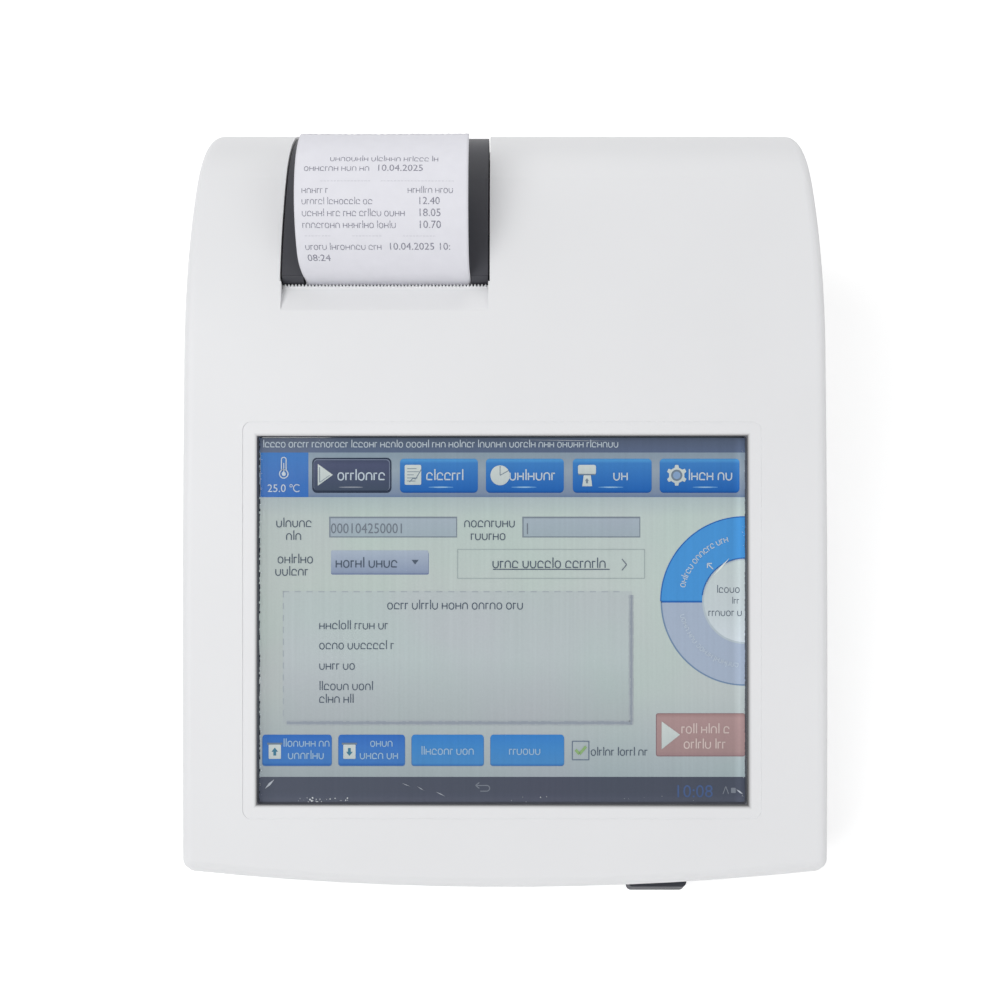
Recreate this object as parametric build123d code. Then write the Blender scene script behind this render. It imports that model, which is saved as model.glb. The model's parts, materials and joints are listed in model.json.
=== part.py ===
from build123d import *
from math import acos, asin, atan2, ceil, cos, hypot, pi, radians, sin, sqrt, tan
import os

# Desktop immunoassay analyzer. Millimetres, +X right, +Y to the rear, +Z up.
# The origin is on the table, under the middle of the casing.

# Casing
BODY_W = 216.0
BODY_D = 263.0
BODY_H = 140.0
CHIN_LIP = 4.0
CROWN_R = 140.0
REAR_R = 42.0
FRONT_BOW = 5.5
FRONT_NARROWING = 0.2
REAR_NARROWING = 2.75
WIDEST_Y = -45.0
EDGE_R = 3.6
WALL = 2.5
PARTING_Z = 44.0
CASE_INSET = 1.2
CASE_LEAN = 0.19
FRONT_OVERRUN = 2.0
REAR_OVERRUN = 5.0
TONGUE_H = 2.0
TONGUE_T = 1.3
TONGUE_FIT = 0.2
FOOT_H = 3.5
FOOT_R = 7.0
FOOT_STUB_R = 2.9
FOOT_STUB_H = 2.0
FOOT_FROM_SIDE = 22.0
FOOT_FROM_FRONT = 31.5
FOOT_FROM_REAR = 25.5
FIT = 0.1

# Case screws and their bosses
FRONT_SCREW_FROM_SIDE = 8.5
REAR_SCREW_FROM_SIDE = 12.0
SCREW_FROM_FRONT = 23.5
SCREW_FROM_REAR = 12.5
CASE_SCREW_R = 1.5
CASE_SCREW_HEAD_R = 2.8
CASE_SCREW_HEAD_H = 2.4
CASE_SCREW_BITE = 13.0
CASE_BOSS_R = 4.2
CASE_BOSS_FLOOR = 8.0
CASE_BOSS_BELOW = 14.0
CASE_BOSS_ABOVE = 18.0
RIB_T = 1.6

# Vents
VENT_COUNT = 9
VENT_PITCH = 5.0
VENT_W = 2.0
REAR_VENT_FROM_SIDE = 46.0
REAR_VENT_LIFT = 14.0
REAR_VENT_H = 26.0
SIDE_VENT_Y = 62.0
SIDE_VENT_LIFT = 10.0
SIDE_VENT_H = 16.0

# Screen
SCREEN_X = -1.0
SCREEN_FROM_SIDE = 26.5
SCREEN_FROM_CHIN = 26.75
SCREEN_FROM_CROWN = 28.36
WINDOW_CORNER_R = 1.0
SURROUND_BORDER = 4.8
SURROUND_DEPTH = 0.25
SURROUND_CORNER_R = 3.0
PANEL_PAST_SIDE = 5.0
PANEL_PAST_TOP = 4.75
PANEL_T = 1.8
PANEL_CORNER_R = 2.0
GASKET_T = 0.8
GASKET_BORDER = 4.0
LCD_T = 6.0
LCD_BEZEL_T = 1.2
LCD_BEZEL_BORDER = 5.5
BRACKET_T = 1.2
BRACKET_PAST_SIDE = 4.5
BRACKET_PAST_END = 12.0
BRACKET_HOLE_W = 110.0
BRACKET_HOLE_H = 70.0
LCD_BOSS_FROM_PANEL = 5.0
LCD_BOSS_FROM_TOP = 16.0
LCD_BOSS_R = 3.0
LCD_SCREW_R = 1.1
LCD_SCREW_HEAD_R = 2.2
LCD_SCREW_HEAD_H = 1.5
LCD_SCREW_LENGTH = 6.5

# Printer lid, slot and tear bar
PRINTER_FROM_SIDE = 67.8
LID_GAP = 0.5
LID_RECESS = 0.7
LID_T = 2.5
LID_FRONT_GAP = 1.6
LID_BARREL_R = 5.8
LID_HINGE_ANGLE = 70.0
LID_EDGE_ANGLE = 77.5
LID_PIN_R = 1.5
SLOT_AHEAD = 38.5
TEAR_BAR_T = 0.8
TEAR_BAR_H = 5.0
TOOTH_PITCH = 1.16
TOOTH_H = 0.8
TOOTH_REACH = 0.1
RAMP_LENGTH = 9.5
RAMP_DEPTH = 3.5

# Print head and platen
NIP_AHEAD = 0.1
NIP_DROP = 18.0
PATH_LEAN_DEG = 4.0
PLATEN_R = 5.0
PLATEN_SHAFT_R = 2.0
PLATEN_PAST_PAPER = 0.55
NIP_GAP = 0.9
HEAD_INSIDE_PAPER = 0.25
HEAD_BOARD_T = 1.0
HEAD_BOARD_LOW = 10.0
HEAD_BOARD_HIGH = 2.5
HEAT_SINK_T = 3.0
HEATER_LINE_H = 1.0
HEATER_LINE_T = 0.1
HEAD_PIVOT_DOWN = 13.5
HEAD_PIVOT_R = 1.0
HEAD_KNUCKLE_T = 1.2
RUNNING_FIT = 0.05
HEAD_FIN_T = 1.0
HEAD_FIN_DEEP = 1.6
HEAD_FIN_PITCH = 3.0
SPRING_R = 1.9
SPRING_WIRE_R = 0.25
SPRING_LENGTH = 4.6
SPRING_TURNS = 4
SPRING_X = 16.0
SPRING_SEAT_T = 2.0
SPRING_SEAT_LOW = 8.0
SPRING_SEAT_HIGH = 0.0
SPRING_DOWN = 4.0
SPRING_GAP = 0.5
BUSHING_R = 3.4
EAR_T = 1.8
PLATEN_END_GAP = 0.4
EAR_R = 5.2

# Printer frame
FRAME_SIDE_GAP = 0.8
FRAME_WALL_T = 2.5
GUIDE_T = 1.8
FRAME_DROP = 66.0
FRAME_FLOOR_T = 2.2
FRAME_AHEAD = 15.0
FRAME_SIDE_BEHIND = 9.0
FRAME_FROM_REAR = 5.1
GUIDE_BEHIND_ROLL = 21.0
GUIDE_DROP = 11.5
GUIDE_CORNER = 8.0
EAR_ROOM_BELOW = 3.3
EAR_ROOM_AHEAD = 3.6
EAR_ROOM_BEHIND = 5.2
EAR_LEAD_AHEAD = 2.6
EAR_LEAD_BEHIND = 5.2
SPRING_WALL_DROP = 16.0
FRAME_COVER_GAP = 0.4
BUCKET_ROOM = 3.0
BUCKET_T = 2.0
BUCKET_BEHIND = 1.5
BUCKET_DROP = 37.0
BUCKET_FRONT_L = 23.0
BUCKET_BACK_H = 5.0
TAB_DROP = 40.0
TAB_T = 3.0
TAB_REACH = 9.0
TAB_HALF = 4.0
TAB_FROM_FRONT = 2.0
TAB_FROM_REAR = 18.4
TAB_SCREW_R = 1.2
TAB_SCREW_LENGTH = 9.0
TAB_BOSS_R = 3.2

# Paper
PAPER_W = 56.5
PAPER_T = 0.15
ROLL_R = 20.0
CORE_R = 8.5
CORE_BORE_R = 6.2
ROLL_GAP = 0.3
CURL_R = 28.0
CURL_START = 11.5
CURL_SWEEP_DEG = 121.0

# Printer gear train
FINE_MODULE = 0.6
PLATEN_TEETH = 20
IDLER_TEETH = 30
PRINTER_PINION_TEETH = 14
GEAR_CLEAR = 0.6
GEAR_END_GAP = 0.2
GEAR_W = 2.8
IDLER_PIN_R = 1.5
MOTOR_R = 7.5
MOTOR_LENGTH = 15.0
MOTOR_EAR = 2.0
MOTOR_EAR_T = 1.0
MOTOR_SHAFT_R = 0.75
MOTOR_SHAFT_DEEP = 3.0

# Gear teeth
PRESSURE_DEG = 20.0
ADDENDUM = 0.8
DEDENDUM = 1.05
BACKLASH = 0.12
CENTRE_SLACK = 0.05
FLANK_STEPS = 3

# Cartridge transport
TRAY_FROM_SIDE = 55.0
TRAY_W = 26.0
TRAY_LIFT = 9.5
TRAY_T = 4.5
TRAY_LENGTH = 182.0
NOSE_SETBACK = 2.25
NOSE_W = 20.5
NOSE_LENGTH = 6.0
NOSE_CORNER_R = 1.8
NOSE_LIP_UP = 1.3
NOSE_LIP_DOWN = 1.5
POCKET_W = 18.5
POCKET_LENGTH = 70.0
POCKET_DEPTH = 3.0
POCKET_FRONT_WALL = 2.4
TRAY_TRAVEL = 75.0
SHOE_L = 10.0
SHOE_BEHIND_NOSE = 94.0
SHOE_PITCH = 34.0
SHOE_HALF_W = 16.3
SHOE_BELOW_ROD = 4.0
ROD_X = 13.0
ROD_LIFT = 9.5
ROD_R = 2.0
BASE_LEFT = 25.0
BASE_RIGHT = 13.4
BASE_BEHIND_NOSE = 13.45
BASE_PAST_TRAY = 5.0
BASE_T = 2.5
BASE_WALL_T = 2.0
ROD_BLOCK_T = 4.0
ROD_BLOCK_ROOM = 8.0
ROD_BLOCK_GAP = 0.7
COVER_GAP = 2.5
COVER_T = 1.5
BEZEL_W = 33.0
BEZEL_BELOW = 10.0
BEZEL_ABOVE = 6.5
BEZEL_RIM = 2.4
BEZEL_PROUD = 0.6
BEZEL_DEEP = 5.0
MODULE = 1.0
RACK_PINION_TEETH = 20
TRAY_PINION_TEETH = 14
RACK_BASE_W = 3.0
RACK_AHEAD = 7.0
RACK_SHORT = 2.0
RACK_PINION_BEHIND_NOSE = 106.0
RACK_GEAR_GAP = 0.3
PINION_PIN_R = 1.5
TRAY_MOTOR_R = 10.0
TRAY_MOTOR_LENGTH = 12.0
TRAY_MOTOR_EAR = 3.5
TRAY_MOTOR_SHAFT_R = 1.0
SENSOR_X = 8.0
SENSOR_L = 10.0
SENSOR_H = 6.0
SENSOR_SLOT_H = 2.6
SENSOR_SLOT_DEEP = 5.0
FLAG_FROM_END = 8.0
FLAG_BELOW_TOP = 1.0
FLAG_T = 0.8
FLAG_L = 4.0
FLAG_REACH = 5.5

# Optics
OPTICS_W = 28.0
OPTICS_AHEAD = 14.0
OPTICS_BEHIND = 22.0
OPTICS_H = 23.5
LENS_BEHIND_NOSE = 70.0
CHANNEL_R = 5.0
LENS_R = 4.6
LENS_T = 2.4
LENS_SEAT_T = 1.0
BEAM_UP = 12.5
MIRROR_T = 1.0
MIRROR_W = 8.0
FILTER_T = 3.0
FILTER_R = 4.9
LED_R = 2.5
LED_LENGTH = 8.0
LED_FLANGE_R = 3.6
LED_FLANGE_T = 1.2
DETECTOR_T = 1.6
DETECTOR_CHIP = 5.0
DETECTOR_CHIP_H = 1.4

# Electronics
BOARD_FROM_SIDE = 18.0
BOARD_FROM_BASE = 4.0
BOARD_FRONT_Y = 12.0
BOARD_REAR_GAP = 1.3
BOARD_T = 1.6
STANDOFF_H = 6.0
STANDOFF_R = 3.0
BOARD_HOLE_INSET = 5.0
BOARD_REAR_HOLE_INSET = 26.0
BOARD_SCREW_R = 1.4
BOARD_SCREW_SHORT = 1.5
BOARD_SCREW_HEAD_R = 2.7
BOARD_SCREW_HEAD_H = 1.9
PORT_FIT = 0.3
USB_FROM_SIDE = 46.0
USB_PITCH = 16.0
USB_W = 13.2
USB_H = 15.6
USB_L = 17.5
USB_HOLE_W = 12.0
USB_HOLE_H = 5.0
USB_HOLE_DEEP = 9.0
USB_TONGUE_T = 1.8
USB_TONGUE_SIDE = 0.6
NETWORK_FROM_SIDE = 80.0
NETWORK_W = 16.0
NETWORK_H = 13.4
NETWORK_L = 21.0
NETWORK_HOLE_W = 11.8
NETWORK_HOLE_H = 7.2
NETWORK_HOLE_DEEP = 12.0
NETWORK_LATCH_H = 1.4
SERIAL_FROM_SIDE = 105.0
SERIAL_W = 31.0
SERIAL_H = 12.5
SERIAL_L = 12.0
SERIAL_SHELL_W = 16.9
SERIAL_SHELL_H = 8.3
SERIAL_SHELL_T = 0.6
SERIAL_SHELL_PROUD = 1.1
SERIAL_LEAN_DEG = 10.0
SERIAL_HIGH_COUNT = 5
SERIAL_LOW_COUNT = 4
SERIAL_PIN_L = 3.0
SERIAL_PIN_R = 0.5
SERIAL_PIN_PITCH = 2.76
SERIAL_ROW_PITCH = 2.84
INLET_FROM_SIDE = 32.0
INLET_W = 9.0
INLET_H = 11.0
INLET_L = 14.0
INLET_BORE_R = 3.2
INLET_BARREL_T = 0.8
INLET_PIN_R = 1.0
INLET_DEEP = 9.0
SWITCH_FROM_SIDE = 36.0
SWITCH_LIFT = 19.0
SWITCH_W = 19.0
SWITCH_H = 13.0
SWITCH_L = 16.0
SWITCH_RIM = 1.2
SWITCH_RIM_T = 1.0
ROCKER_W = 14.5
ROCKER_H = 9.0
ROCKER_R = 7.0
ROCKER_DEEP = 6.5
ROCKER_TILT_DEG = 8.0
ROCKER_PIN_R = 1.0
ROCKER_GAP = 0.3
CHIP_SOCKET_FROM_SIDE = 46.0
CHIP_SOCKET_W = 22.0
CHIP_SOCKET_LIFT = 13.0
CHIP_SOCKET_H = 12.0
CHIP_SOCKET_L = 14.0
CHIP_SLOT_W = 15.0
CHIP_SLOT_H = 5.0
CHIP_SLOT_DEEP = 11.0
PROCESSOR_SIZE = 17.0
PROCESSOR_H = 1.6
MEMORY_W = 9.0
MEMORY_L = 12.0
MEMORY_H = 1.2
CAPACITOR_R = 4.0
CAPACITOR_H = 10.0
CAPACITOR_PITCH = 10.0
CAPACITOR_COUNT = 3
CAPACITOR_EDGE_R = 0.8
COIN_R = 10.0
COIN_H = 3.2
COIN_FROM_LEFT = 15.0
COIN_FROM_FRONT = 38.0
COIN_EDGE_R = 0.6
HEADER_H = 5.0

# Flat cables
RIBBON_T = 0.4
DISPLAY_RIBBON_W = 30.0
PRINTER_RIBBON_W = 24.0
RIBBON_BEND_R = 6.0
RIBBON_OFFSET = 0.6
RIBBON_GAP = 0.6
DISPLAY_RIBBON_FROM_EDGE = 55.0
DISPLAY_RIBBON_UP = 20.0
PRINTER_RIBBON_LEFT = 11.8
HEADER_FROM_EDGE = 8.0
HEADER_PAST_CABLE = 1.5

# Worked out from the values above
HALF_W = BODY_W / 2
HALF_D = BODY_D / 2
FLOOR_TOP = FOOT_H + WALL
CROWN_Y = HALF_D - REAR_R
CROWN_Z = BODY_H - CROWN_R
REAR_Z = BODY_H - REAR_R
CHIN_Z = PARTING_Z + CHIN_LIP
CHIN_TO_CROWN = hypot(BODY_D - REAR_R, CROWN_Z - CHIN_Z)
SLOPE = asin(CROWN_R / CHIN_TO_CROWN) + atan2(CROWN_Z - CHIN_Z, BODY_D - REAR_R)
SLOPE_LENGTH = sqrt(CHIN_TO_CROWN ** 2 - CROWN_R ** 2)
CASE_REAR_Y = HALF_D - CASE_INSET
FOOT_X = HALF_W - FOOT_FROM_SIDE
FOOT_FRONT_Y = FOOT_FROM_FRONT - HALF_D
FOOT_REAR_Y = HALF_D - FOOT_FROM_REAR
CASE_BOSS_SPLIT_Z = PARTING_Z - CASE_BOSS_BELOW
CASE_BOSS_TOP_Z = PARTING_Z + CASE_BOSS_ABOVE
CASE_SCREW_SEAT_Z = FOOT_H + CASE_BOSS_FLOOR - CASE_SCREW_HEAD_H
CASE_SCREW_TOP_Z = CASE_BOSS_SPLIT_Z + CASE_SCREW_BITE
REAR_VENT_Z = (PARTING_Z + REAR_VENT_LIFT, PARTING_Z + REAR_VENT_LIFT + REAR_VENT_H)
SIDE_VENT_Z = (FLOOR_TOP + SIDE_VENT_LIFT, FLOOR_TOP + SIDE_VENT_LIFT + SIDE_VENT_H)
REAR_VENT_X = HALF_W - REAR_VENT_FROM_SIDE
WINDOW_W = BODY_W - 2 * SCREEN_FROM_SIDE
WINDOW_H = SLOPE_LENGTH - SCREEN_FROM_CHIN - SCREEN_FROM_CROWN
SCREEN_UP_SLOPE = SCREEN_FROM_CHIN + WINDOW_H / 2
PANEL_W = WINDOW_W + 2 * PANEL_PAST_SIDE
PANEL_H = WINDOW_H + 2 * PANEL_PAST_TOP
LCD_BOSS_X = PANEL_W / 2 + LCD_BOSS_FROM_PANEL
LCD_BOSS_Y = PANEL_H / 2 - LCD_BOSS_FROM_TOP
BRACKET_W = 2 * (LCD_BOSS_X + BRACKET_PAST_SIDE)
BRACKET_H = 2 * (LCD_BOSS_Y + BRACKET_PAST_END)
SCREEN_DEPTH = WALL + GASKET_T + PANEL_T
BRACKET_DEPTH = SCREEN_DEPTH + LCD_T
PLATEN_W = PAPER_W + 2 * PLATEN_PAST_PAPER
HEAD_W = PAPER_W - 2 * HEAD_INSIDE_PAPER
EAR_INSIDE_X = PLATEN_W / 2 + PLATEN_END_GAP
GUIDE_X = EAR_INSIDE_X
GEAR_X = EAR_INSIDE_X + EAR_T + GEAR_CLEAR
LID_W = 2 * (GEAR_X + GEAR_W + GEAR_END_GAP)
PRINTER_X = PRINTER_FROM_SIDE - HALF_W
LID_X = (PRINTER_X - LID_W / 2, PRINTER_X + LID_W / 2)
FRAME_OUTER_X = LID_W / 2 + FRAME_SIDE_GAP
HINGE_REACH = REAR_R - LID_RECESS - LID_BARREL_R
HINGE_Y = CROWN_Y + HINGE_REACH * sin(radians(LID_HINGE_ANGLE))
HINGE_Z = REAR_Z + HINGE_REACH * cos(radians(LID_HINGE_ANGLE))
SLOT_Y = CROWN_Y - SLOT_AHEAD
LID_FRONT_Y = SLOT_Y + LID_FRONT_GAP
NIP_Y = SLOT_Y - NIP_AHEAD
NIP_Z = BODY_H - NIP_DROP
ALONG = (sin(radians(PATH_LEAN_DEG)), cos(radians(PATH_LEAN_DEG)))
ACROSS = (cos(radians(PATH_LEAN_DEG)), -sin(radians(PATH_LEAN_DEG)))
PLATEN_Y = NIP_Y + ACROSS[0] * (NIP_GAP + PLATEN_R)
PLATEN_Z = NIP_Z + ACROSS[1] * (NIP_GAP + PLATEN_R)
BUCKET_R = ROLL_R + BUCKET_ROOM
BUCKET_Y = CROWN_Y + BUCKET_BEHIND
BUCKET_Z = BODY_H - BUCKET_DROP
ROLL_Y = BUCKET_Y
ROLL_Z = BUCKET_Z - BUCKET_R + ROLL_R + ROLL_GAP
FRAME_LOW_Z = BODY_H - FRAME_DROP
FRAME_FRONT_Y = SLOT_Y - FRAME_AHEAD
FRAME_SIDE_Y = SLOT_Y + FRAME_SIDE_BEHIND
FRAME_REAR_Y = HALF_D - FRAME_FROM_REAR
GUIDE_REAR_Y = BUCKET_Y + GUIDE_BEHIND_ROLL
GUIDE_TOP_Z = BODY_H - GUIDE_DROP
SPRING_WALL_TOP_Z = BODY_H - SPRING_WALL_DROP
TAB_Z = BODY_H - TAB_DROP
TAB_FRONT_Y = FRAME_SIDE_Y + TAB_FROM_FRONT
TAB_REAR_Y = FRAME_REAR_Y - TAB_FROM_REAR
WEB_ROLL_R = ROLL_R + ROLL_GAP + PAPER_T
WEB_PLATEN_R = PLATEN_R + NIP_GAP / 2
TRAY_X = HALF_W - TRAY_FROM_SIDE
BASE_TOP_Z = FLOOR_TOP + BASE_T
ROD_Z = BASE_TOP_Z + ROD_LIFT
SHOE_LOW_Z = ROD_Z - SHOE_BELOW_ROD
TRAY_TOP_Z = ROD_Z + TRAY_LIFT
TRAY_LOW_Z = TRAY_TOP_Z - TRAY_T
NOSE_TIP_Y = NOSE_SETBACK - HALF_D
TRAY_REAR_Y = NOSE_TIP_Y + TRAY_LENGTH
SHOE_FRONT_Y = NOSE_TIP_Y + SHOE_BEHIND_NOSE
SHOE_REAR_Y = SHOE_FRONT_Y + SHOE_PITCH
ROD_BLOCK_REAR_Y = SHOE_REAR_Y + SHOE_L + ROD_BLOCK_ROOM
ROD_BLOCK_TOP_Z = TRAY_LOW_Z - ROD_BLOCK_GAP
COVER_LOW_Z = TRAY_TOP_Z + COVER_GAP
COVER_TOP_Z = COVER_LOW_Z + COVER_T
BEZEL_Z = (TRAY_TOP_Z - BEZEL_BELOW, TRAY_TOP_Z + BEZEL_ABOVE)
RACK_PITCH_X = TRAY_X + TRAY_W / 2 + RACK_BASE_W + DEDENDUM * MODULE
RACK_PINION_X = RACK_PITCH_X + MODULE * RACK_PINION_TEETH / 2 + CENTRE_SLACK
RACK_PINION_Y = NOSE_TIP_Y + RACK_PINION_BEHIND_NOSE
RACK_FRONT_Y = RACK_PINION_Y - RACK_AHEAD
RACK_REAR_Y = TRAY_REAR_Y - RACK_SHORT
TRAY_PINION_Y = RACK_PINION_Y - MODULE * (RACK_PINION_TEETH + TRAY_PINION_TEETH) / 2 - CENTRE_SLACK
GEAR_LOW_Z = TRAY_LOW_Z + RACK_GEAR_GAP
GEAR_HIGH_Z = TRAY_TOP_Z - RACK_GEAR_GAP
BASE_X = (TRAY_X - BASE_LEFT, RACK_PINION_X + BASE_RIGHT)
BASE_FRONT_Y = NOSE_TIP_Y + BASE_BEHIND_NOSE
BASE_REAR_Y = TRAY_REAR_Y + BASE_PAST_TRAY
SENSOR_HOME_Y = TRAY_REAR_Y - FLAG_FROM_END
FLAG_Z = TRAY_TOP_Z - FLAG_BELOW_TOP
LENS_Y = NOSE_TIP_Y + LENS_BEHIND_NOSE
OPTICS_FRONT_Y = LENS_Y - OPTICS_AHEAD
OPTICS_REAR_Y = LENS_Y + OPTICS_BEHIND
BOARD_X = (BOARD_FROM_SIDE - HALF_W, BASE_X[0] - BOARD_FROM_BASE)
BOARD_LOW_Z = FLOOR_TOP + STANDOFF_H
BOARD_TOP_Z = BOARD_LOW_Z + BOARD_T
BOARD_REAR_Y = CASE_REAR_Y - WALL - BOARD_REAR_GAP
USB_X = (USB_FROM_SIDE - HALF_W, USB_FROM_SIDE + USB_PITCH - HALF_W)
NETWORK_X = NETWORK_FROM_SIDE - HALF_W
SERIAL_X = SERIAL_FROM_SIDE - HALF_W
INLET_X = INLET_FROM_SIDE - HALF_W
SWITCH_X = HALF_W - SWITCH_FROM_SIDE
SWITCH_Z = FLOOR_TOP + SWITCH_LIFT
ROCKER_PIVOT_Y = CASE_REAR_Y - ROCKER_DEEP
CHIP_SOCKET_X = CHIP_SOCKET_FROM_SIDE - HALF_W
CHIP_SOCKET_Z = (FLOOR_TOP + CHIP_SOCKET_LIFT, FLOOR_TOP + CHIP_SOCKET_LIFT + CHIP_SOCKET_H)
DISPLAY_RIBBON_X = BOARD_X[0] + DISPLAY_RIBBON_FROM_EDGE
PRINTER_RIBBON_X = PRINTER_X - PRINTER_RIBBON_LEFT


# Shapes used by several pieces

def block(x, y, z):
    middle = Pos((x[0] + x[1]) / 2, (y[0] + y[1]) / 2, (z[0] + z[1]) / 2)
    return middle * Box(x[1] - x[0], y[1] - y[0], z[1] - z[0])


def about(middle, width):
    return (middle - width / 2, middle + width / 2)


def rod_x(radius, x, y, z):
    return Pos((x[0] + x[1]) / 2, y, z) * Rot(0, 90, 0) * Cylinder(radius, x[1] - x[0])


def rod_y(radius, x, y, z):
    return Pos(x, (y[0] + y[1]) / 2, z) * Rot(90, 0, 0) * Cylinder(radius, y[1] - y[0])


def rod_z(radius, x, y, z):
    return Pos(x, y, (z[0] + z[1]) / 2) * Cylinder(radius, z[1] - z[0])


def side_prism(face, x):
    return extrude(Plane.YZ.offset(x[0]) * face, amount=x[1] - x[0])


def polygon(*points):
    return make_face(Polyline(*points, close=True))


def along_path(distance, offset):
    y = NIP_Y + ALONG[0] * distance + ACROSS[0] * offset
    z = NIP_Z + ALONG[1] * distance + ACROSS[1] * offset
    return (y, z)


def path_plate(low, high, near, far, x):
    corners = (along_path(low, near), along_path(low, far), along_path(high, far), along_path(high, near))
    return side_prism(polygon(*corners), x)


def side_profile(inset, low):
    slope_shift = inset * tan(SLOPE) - inset / cos(SLOPE)
    crown = CROWN_R - inset
    rear = REAR_R - inset
    front = inset - HALF_D - FRONT_OVERRUN
    chin = (front, CHIN_Z + slope_shift - FRONT_OVERRUN * tan(SLOPE))
    slope_end = (CROWN_Y - crown * sin(SLOPE), CROWN_Z + crown * cos(SLOPE))
    crown_middle = (CROWN_Y - crown * sin(SLOPE / 2), CROWN_Z + crown * cos(SLOPE / 2))
    top = (CROWN_Y, BODY_H - inset)
    rear_middle = (CROWN_Y + rear * sin(pi / 4), REAR_Z + rear * cos(pi / 4))
    rear_end = (CROWN_Y + rear, REAR_Z)
    outline = Line((front, low), chin)
    outline += Line(chin, slope_end)
    outline += ThreePointArc(slope_end, crown_middle, top)
    outline += ThreePointArc(top, rear_middle, rear_end)
    outline += Line(rear_end, (CROWN_Y + rear, low))
    outline += Line((CROWN_Y + rear, low), (front, low))
    return make_face(outline)


def plan_outline(inset):
    front_x = HALF_W - FRONT_NARROWING - inset
    wide_x = HALF_W - inset
    rear_x = HALF_W - REAR_NARROWING - inset
    front_y = FRONT_BOW - HALF_D + inset
    rear_y = HALF_D - inset + REAR_OVERRUN
    outline = ThreePointArc((-front_x, front_y), (0, inset - HALF_D), (front_x, front_y))
    outline += ThreePointArc((front_x, front_y), (wide_x, WIDEST_Y), (rear_x, rear_y))
    outline += Line((rear_x, rear_y), (-rear_x, rear_y))
    outline += ThreePointArc((-rear_x, rear_y), (-wide_x, WIDEST_Y), (-front_x, front_y))
    return make_face(outline)


def plan_prism(inset, z):
    return extrude(Plane.XY.offset(z[0]) * plan_outline(inset), amount=z[1] - z[0])


def casing_block(inset, low):
    prism = side_prism(side_profile(inset, low), (-BODY_W, BODY_W))
    return prism & plan_prism(inset, (low, BODY_H + 1))


def crown_z(y, inset):
    return CROWN_Z + sqrt((CROWN_R - inset) ** 2 - (CROWN_Y - y) ** 2)


def case_front_y(z, inset):
    return CASE_INSET + inset - HALF_D + (PARTING_Z - z) * CASE_LEAN


def case_block(inset, low):
    rear = HALF_D - CASE_INSET - inset
    high = PARTING_Z - low
    outline = Plane.XY.offset(PARTING_Z) * plan_outline(CASE_INSET + inset)
    leaning = extrude(outline, amount=high * hypot(1, CASE_LEAN), dir=(0, CASE_LEAN, -1))
    return leaning & block((-BODY_W, BODY_W), (-BODY_D, rear), (low, PARTING_Z))


def screen_frame():
    y = SCREEN_UP_SLOPE * cos(SLOPE) - HALF_D
    z = CHIN_Z + SCREEN_UP_SLOPE * sin(SLOPE)
    return Plane(origin=(SCREEN_X, y, z), x_dir=(1, 0, 0), z_dir=(0, -sin(SLOPE), cos(SLOPE)))


def screen_plate(width, height, corner, low, high):
    outline = RectangleRounded(width, height, corner)
    return extrude(screen_frame().offset(low) * outline, amount=high - low)


def screen_rod(radius, x, y, low, high):
    place = screen_frame().location * Pos(x, y, (low + high) / 2)
    return place * Cylinder(radius, high - low)


def signs(x, y):
    return [(x * right, y * up) for right in (-1, 1) for up in (-1, 1)]


def case_screw_places():
    fronts = [(side * (HALF_W - FRONT_SCREW_FROM_SIDE), SCREW_FROM_FRONT - HALF_D) for side in (-1, 1)]
    rears = [(side * (HALF_W - REAR_SCREW_FROM_SIDE), HALF_D - SCREW_FROM_REAR) for side in (-1, 1)]
    return fronts + rears


def foot_places():
    return [(side * FOOT_X, y) for side in (-1, 1) for y in (FOOT_FRONT_Y, FOOT_REAR_Y)]


def tab_places():
    reach = FRAME_OUTER_X + FRAME_WALL_T + TAB_REACH / 2
    return [(PRINTER_X + side * reach, y) for side in (-1, 1) for y in (TAB_FRONT_Y, TAB_REAR_Y)]


# Gears

def gear_outline(module, teeth, phase):
    pitch_r = module * teeth / 2
    base_r = pitch_r * cos(radians(PRESSURE_DEG))
    tip_r = pitch_r + ADDENDUM * module
    root_r = pitch_r - DEDENDUM * module
    half_tooth = (pi * module / 2 - BACKLASH) / (2 * pitch_r)
    at_base = half_tooth + tan(radians(PRESSURE_DEG)) - radians(PRESSURE_DEG)
    start_r = max(base_r, root_r)
    flank = []
    for step in range(FLANK_STEPS + 1):
        radius = start_r + (tip_r - start_r) * step / FLANK_STEPS
        angle = acos(min(1.0, base_r / radius))
        flank.append((radius, at_base - (tan(angle) - angle)))
    if root_r < base_r:
        flank.insert(0, (root_r, at_base))
    points = []
    for tooth in range(teeth):
        middle = phase + 2 * pi * tooth / teeth
        for radius, half in flank:
            points.append((radius * cos(middle - half), radius * sin(middle - half)))
        for radius, half in reversed(flank):
            points.append((radius * cos(middle + half), radius * sin(middle + half)))
    return polygon(*points)


def gear_upright(module, teeth, x, y, z, phase, bore):
    outline = gear_outline(module, teeth, phase) - Circle(bore)
    return extrude(Plane.XY.offset(z[0]) * Pos(x, y) * outline, amount=z[1] - z[0])


def gear_sideways(module, teeth, y, z, x, phase, bore):
    outline = gear_outline(module, teeth, phase) - Circle(bore)
    return side_prism(Pos(y, z) * outline, x)


# Casing

def ramp_pad():
    top = side_prism(side_profile(0, PARTING_Z), LID_X)
    under = side_prism(side_profile(RAMP_DEPTH + WALL, FOOT_H), (LID_X[0] - 1, LID_X[1] + 1))
    reach = (SLOT_Y - TEAR_BAR_T - RAMP_LENGTH, SLOT_Y - TEAR_BAR_T)
    return (top - under) & block(LID_X, reach, (CHIN_Z, BODY_H + 1))


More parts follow.
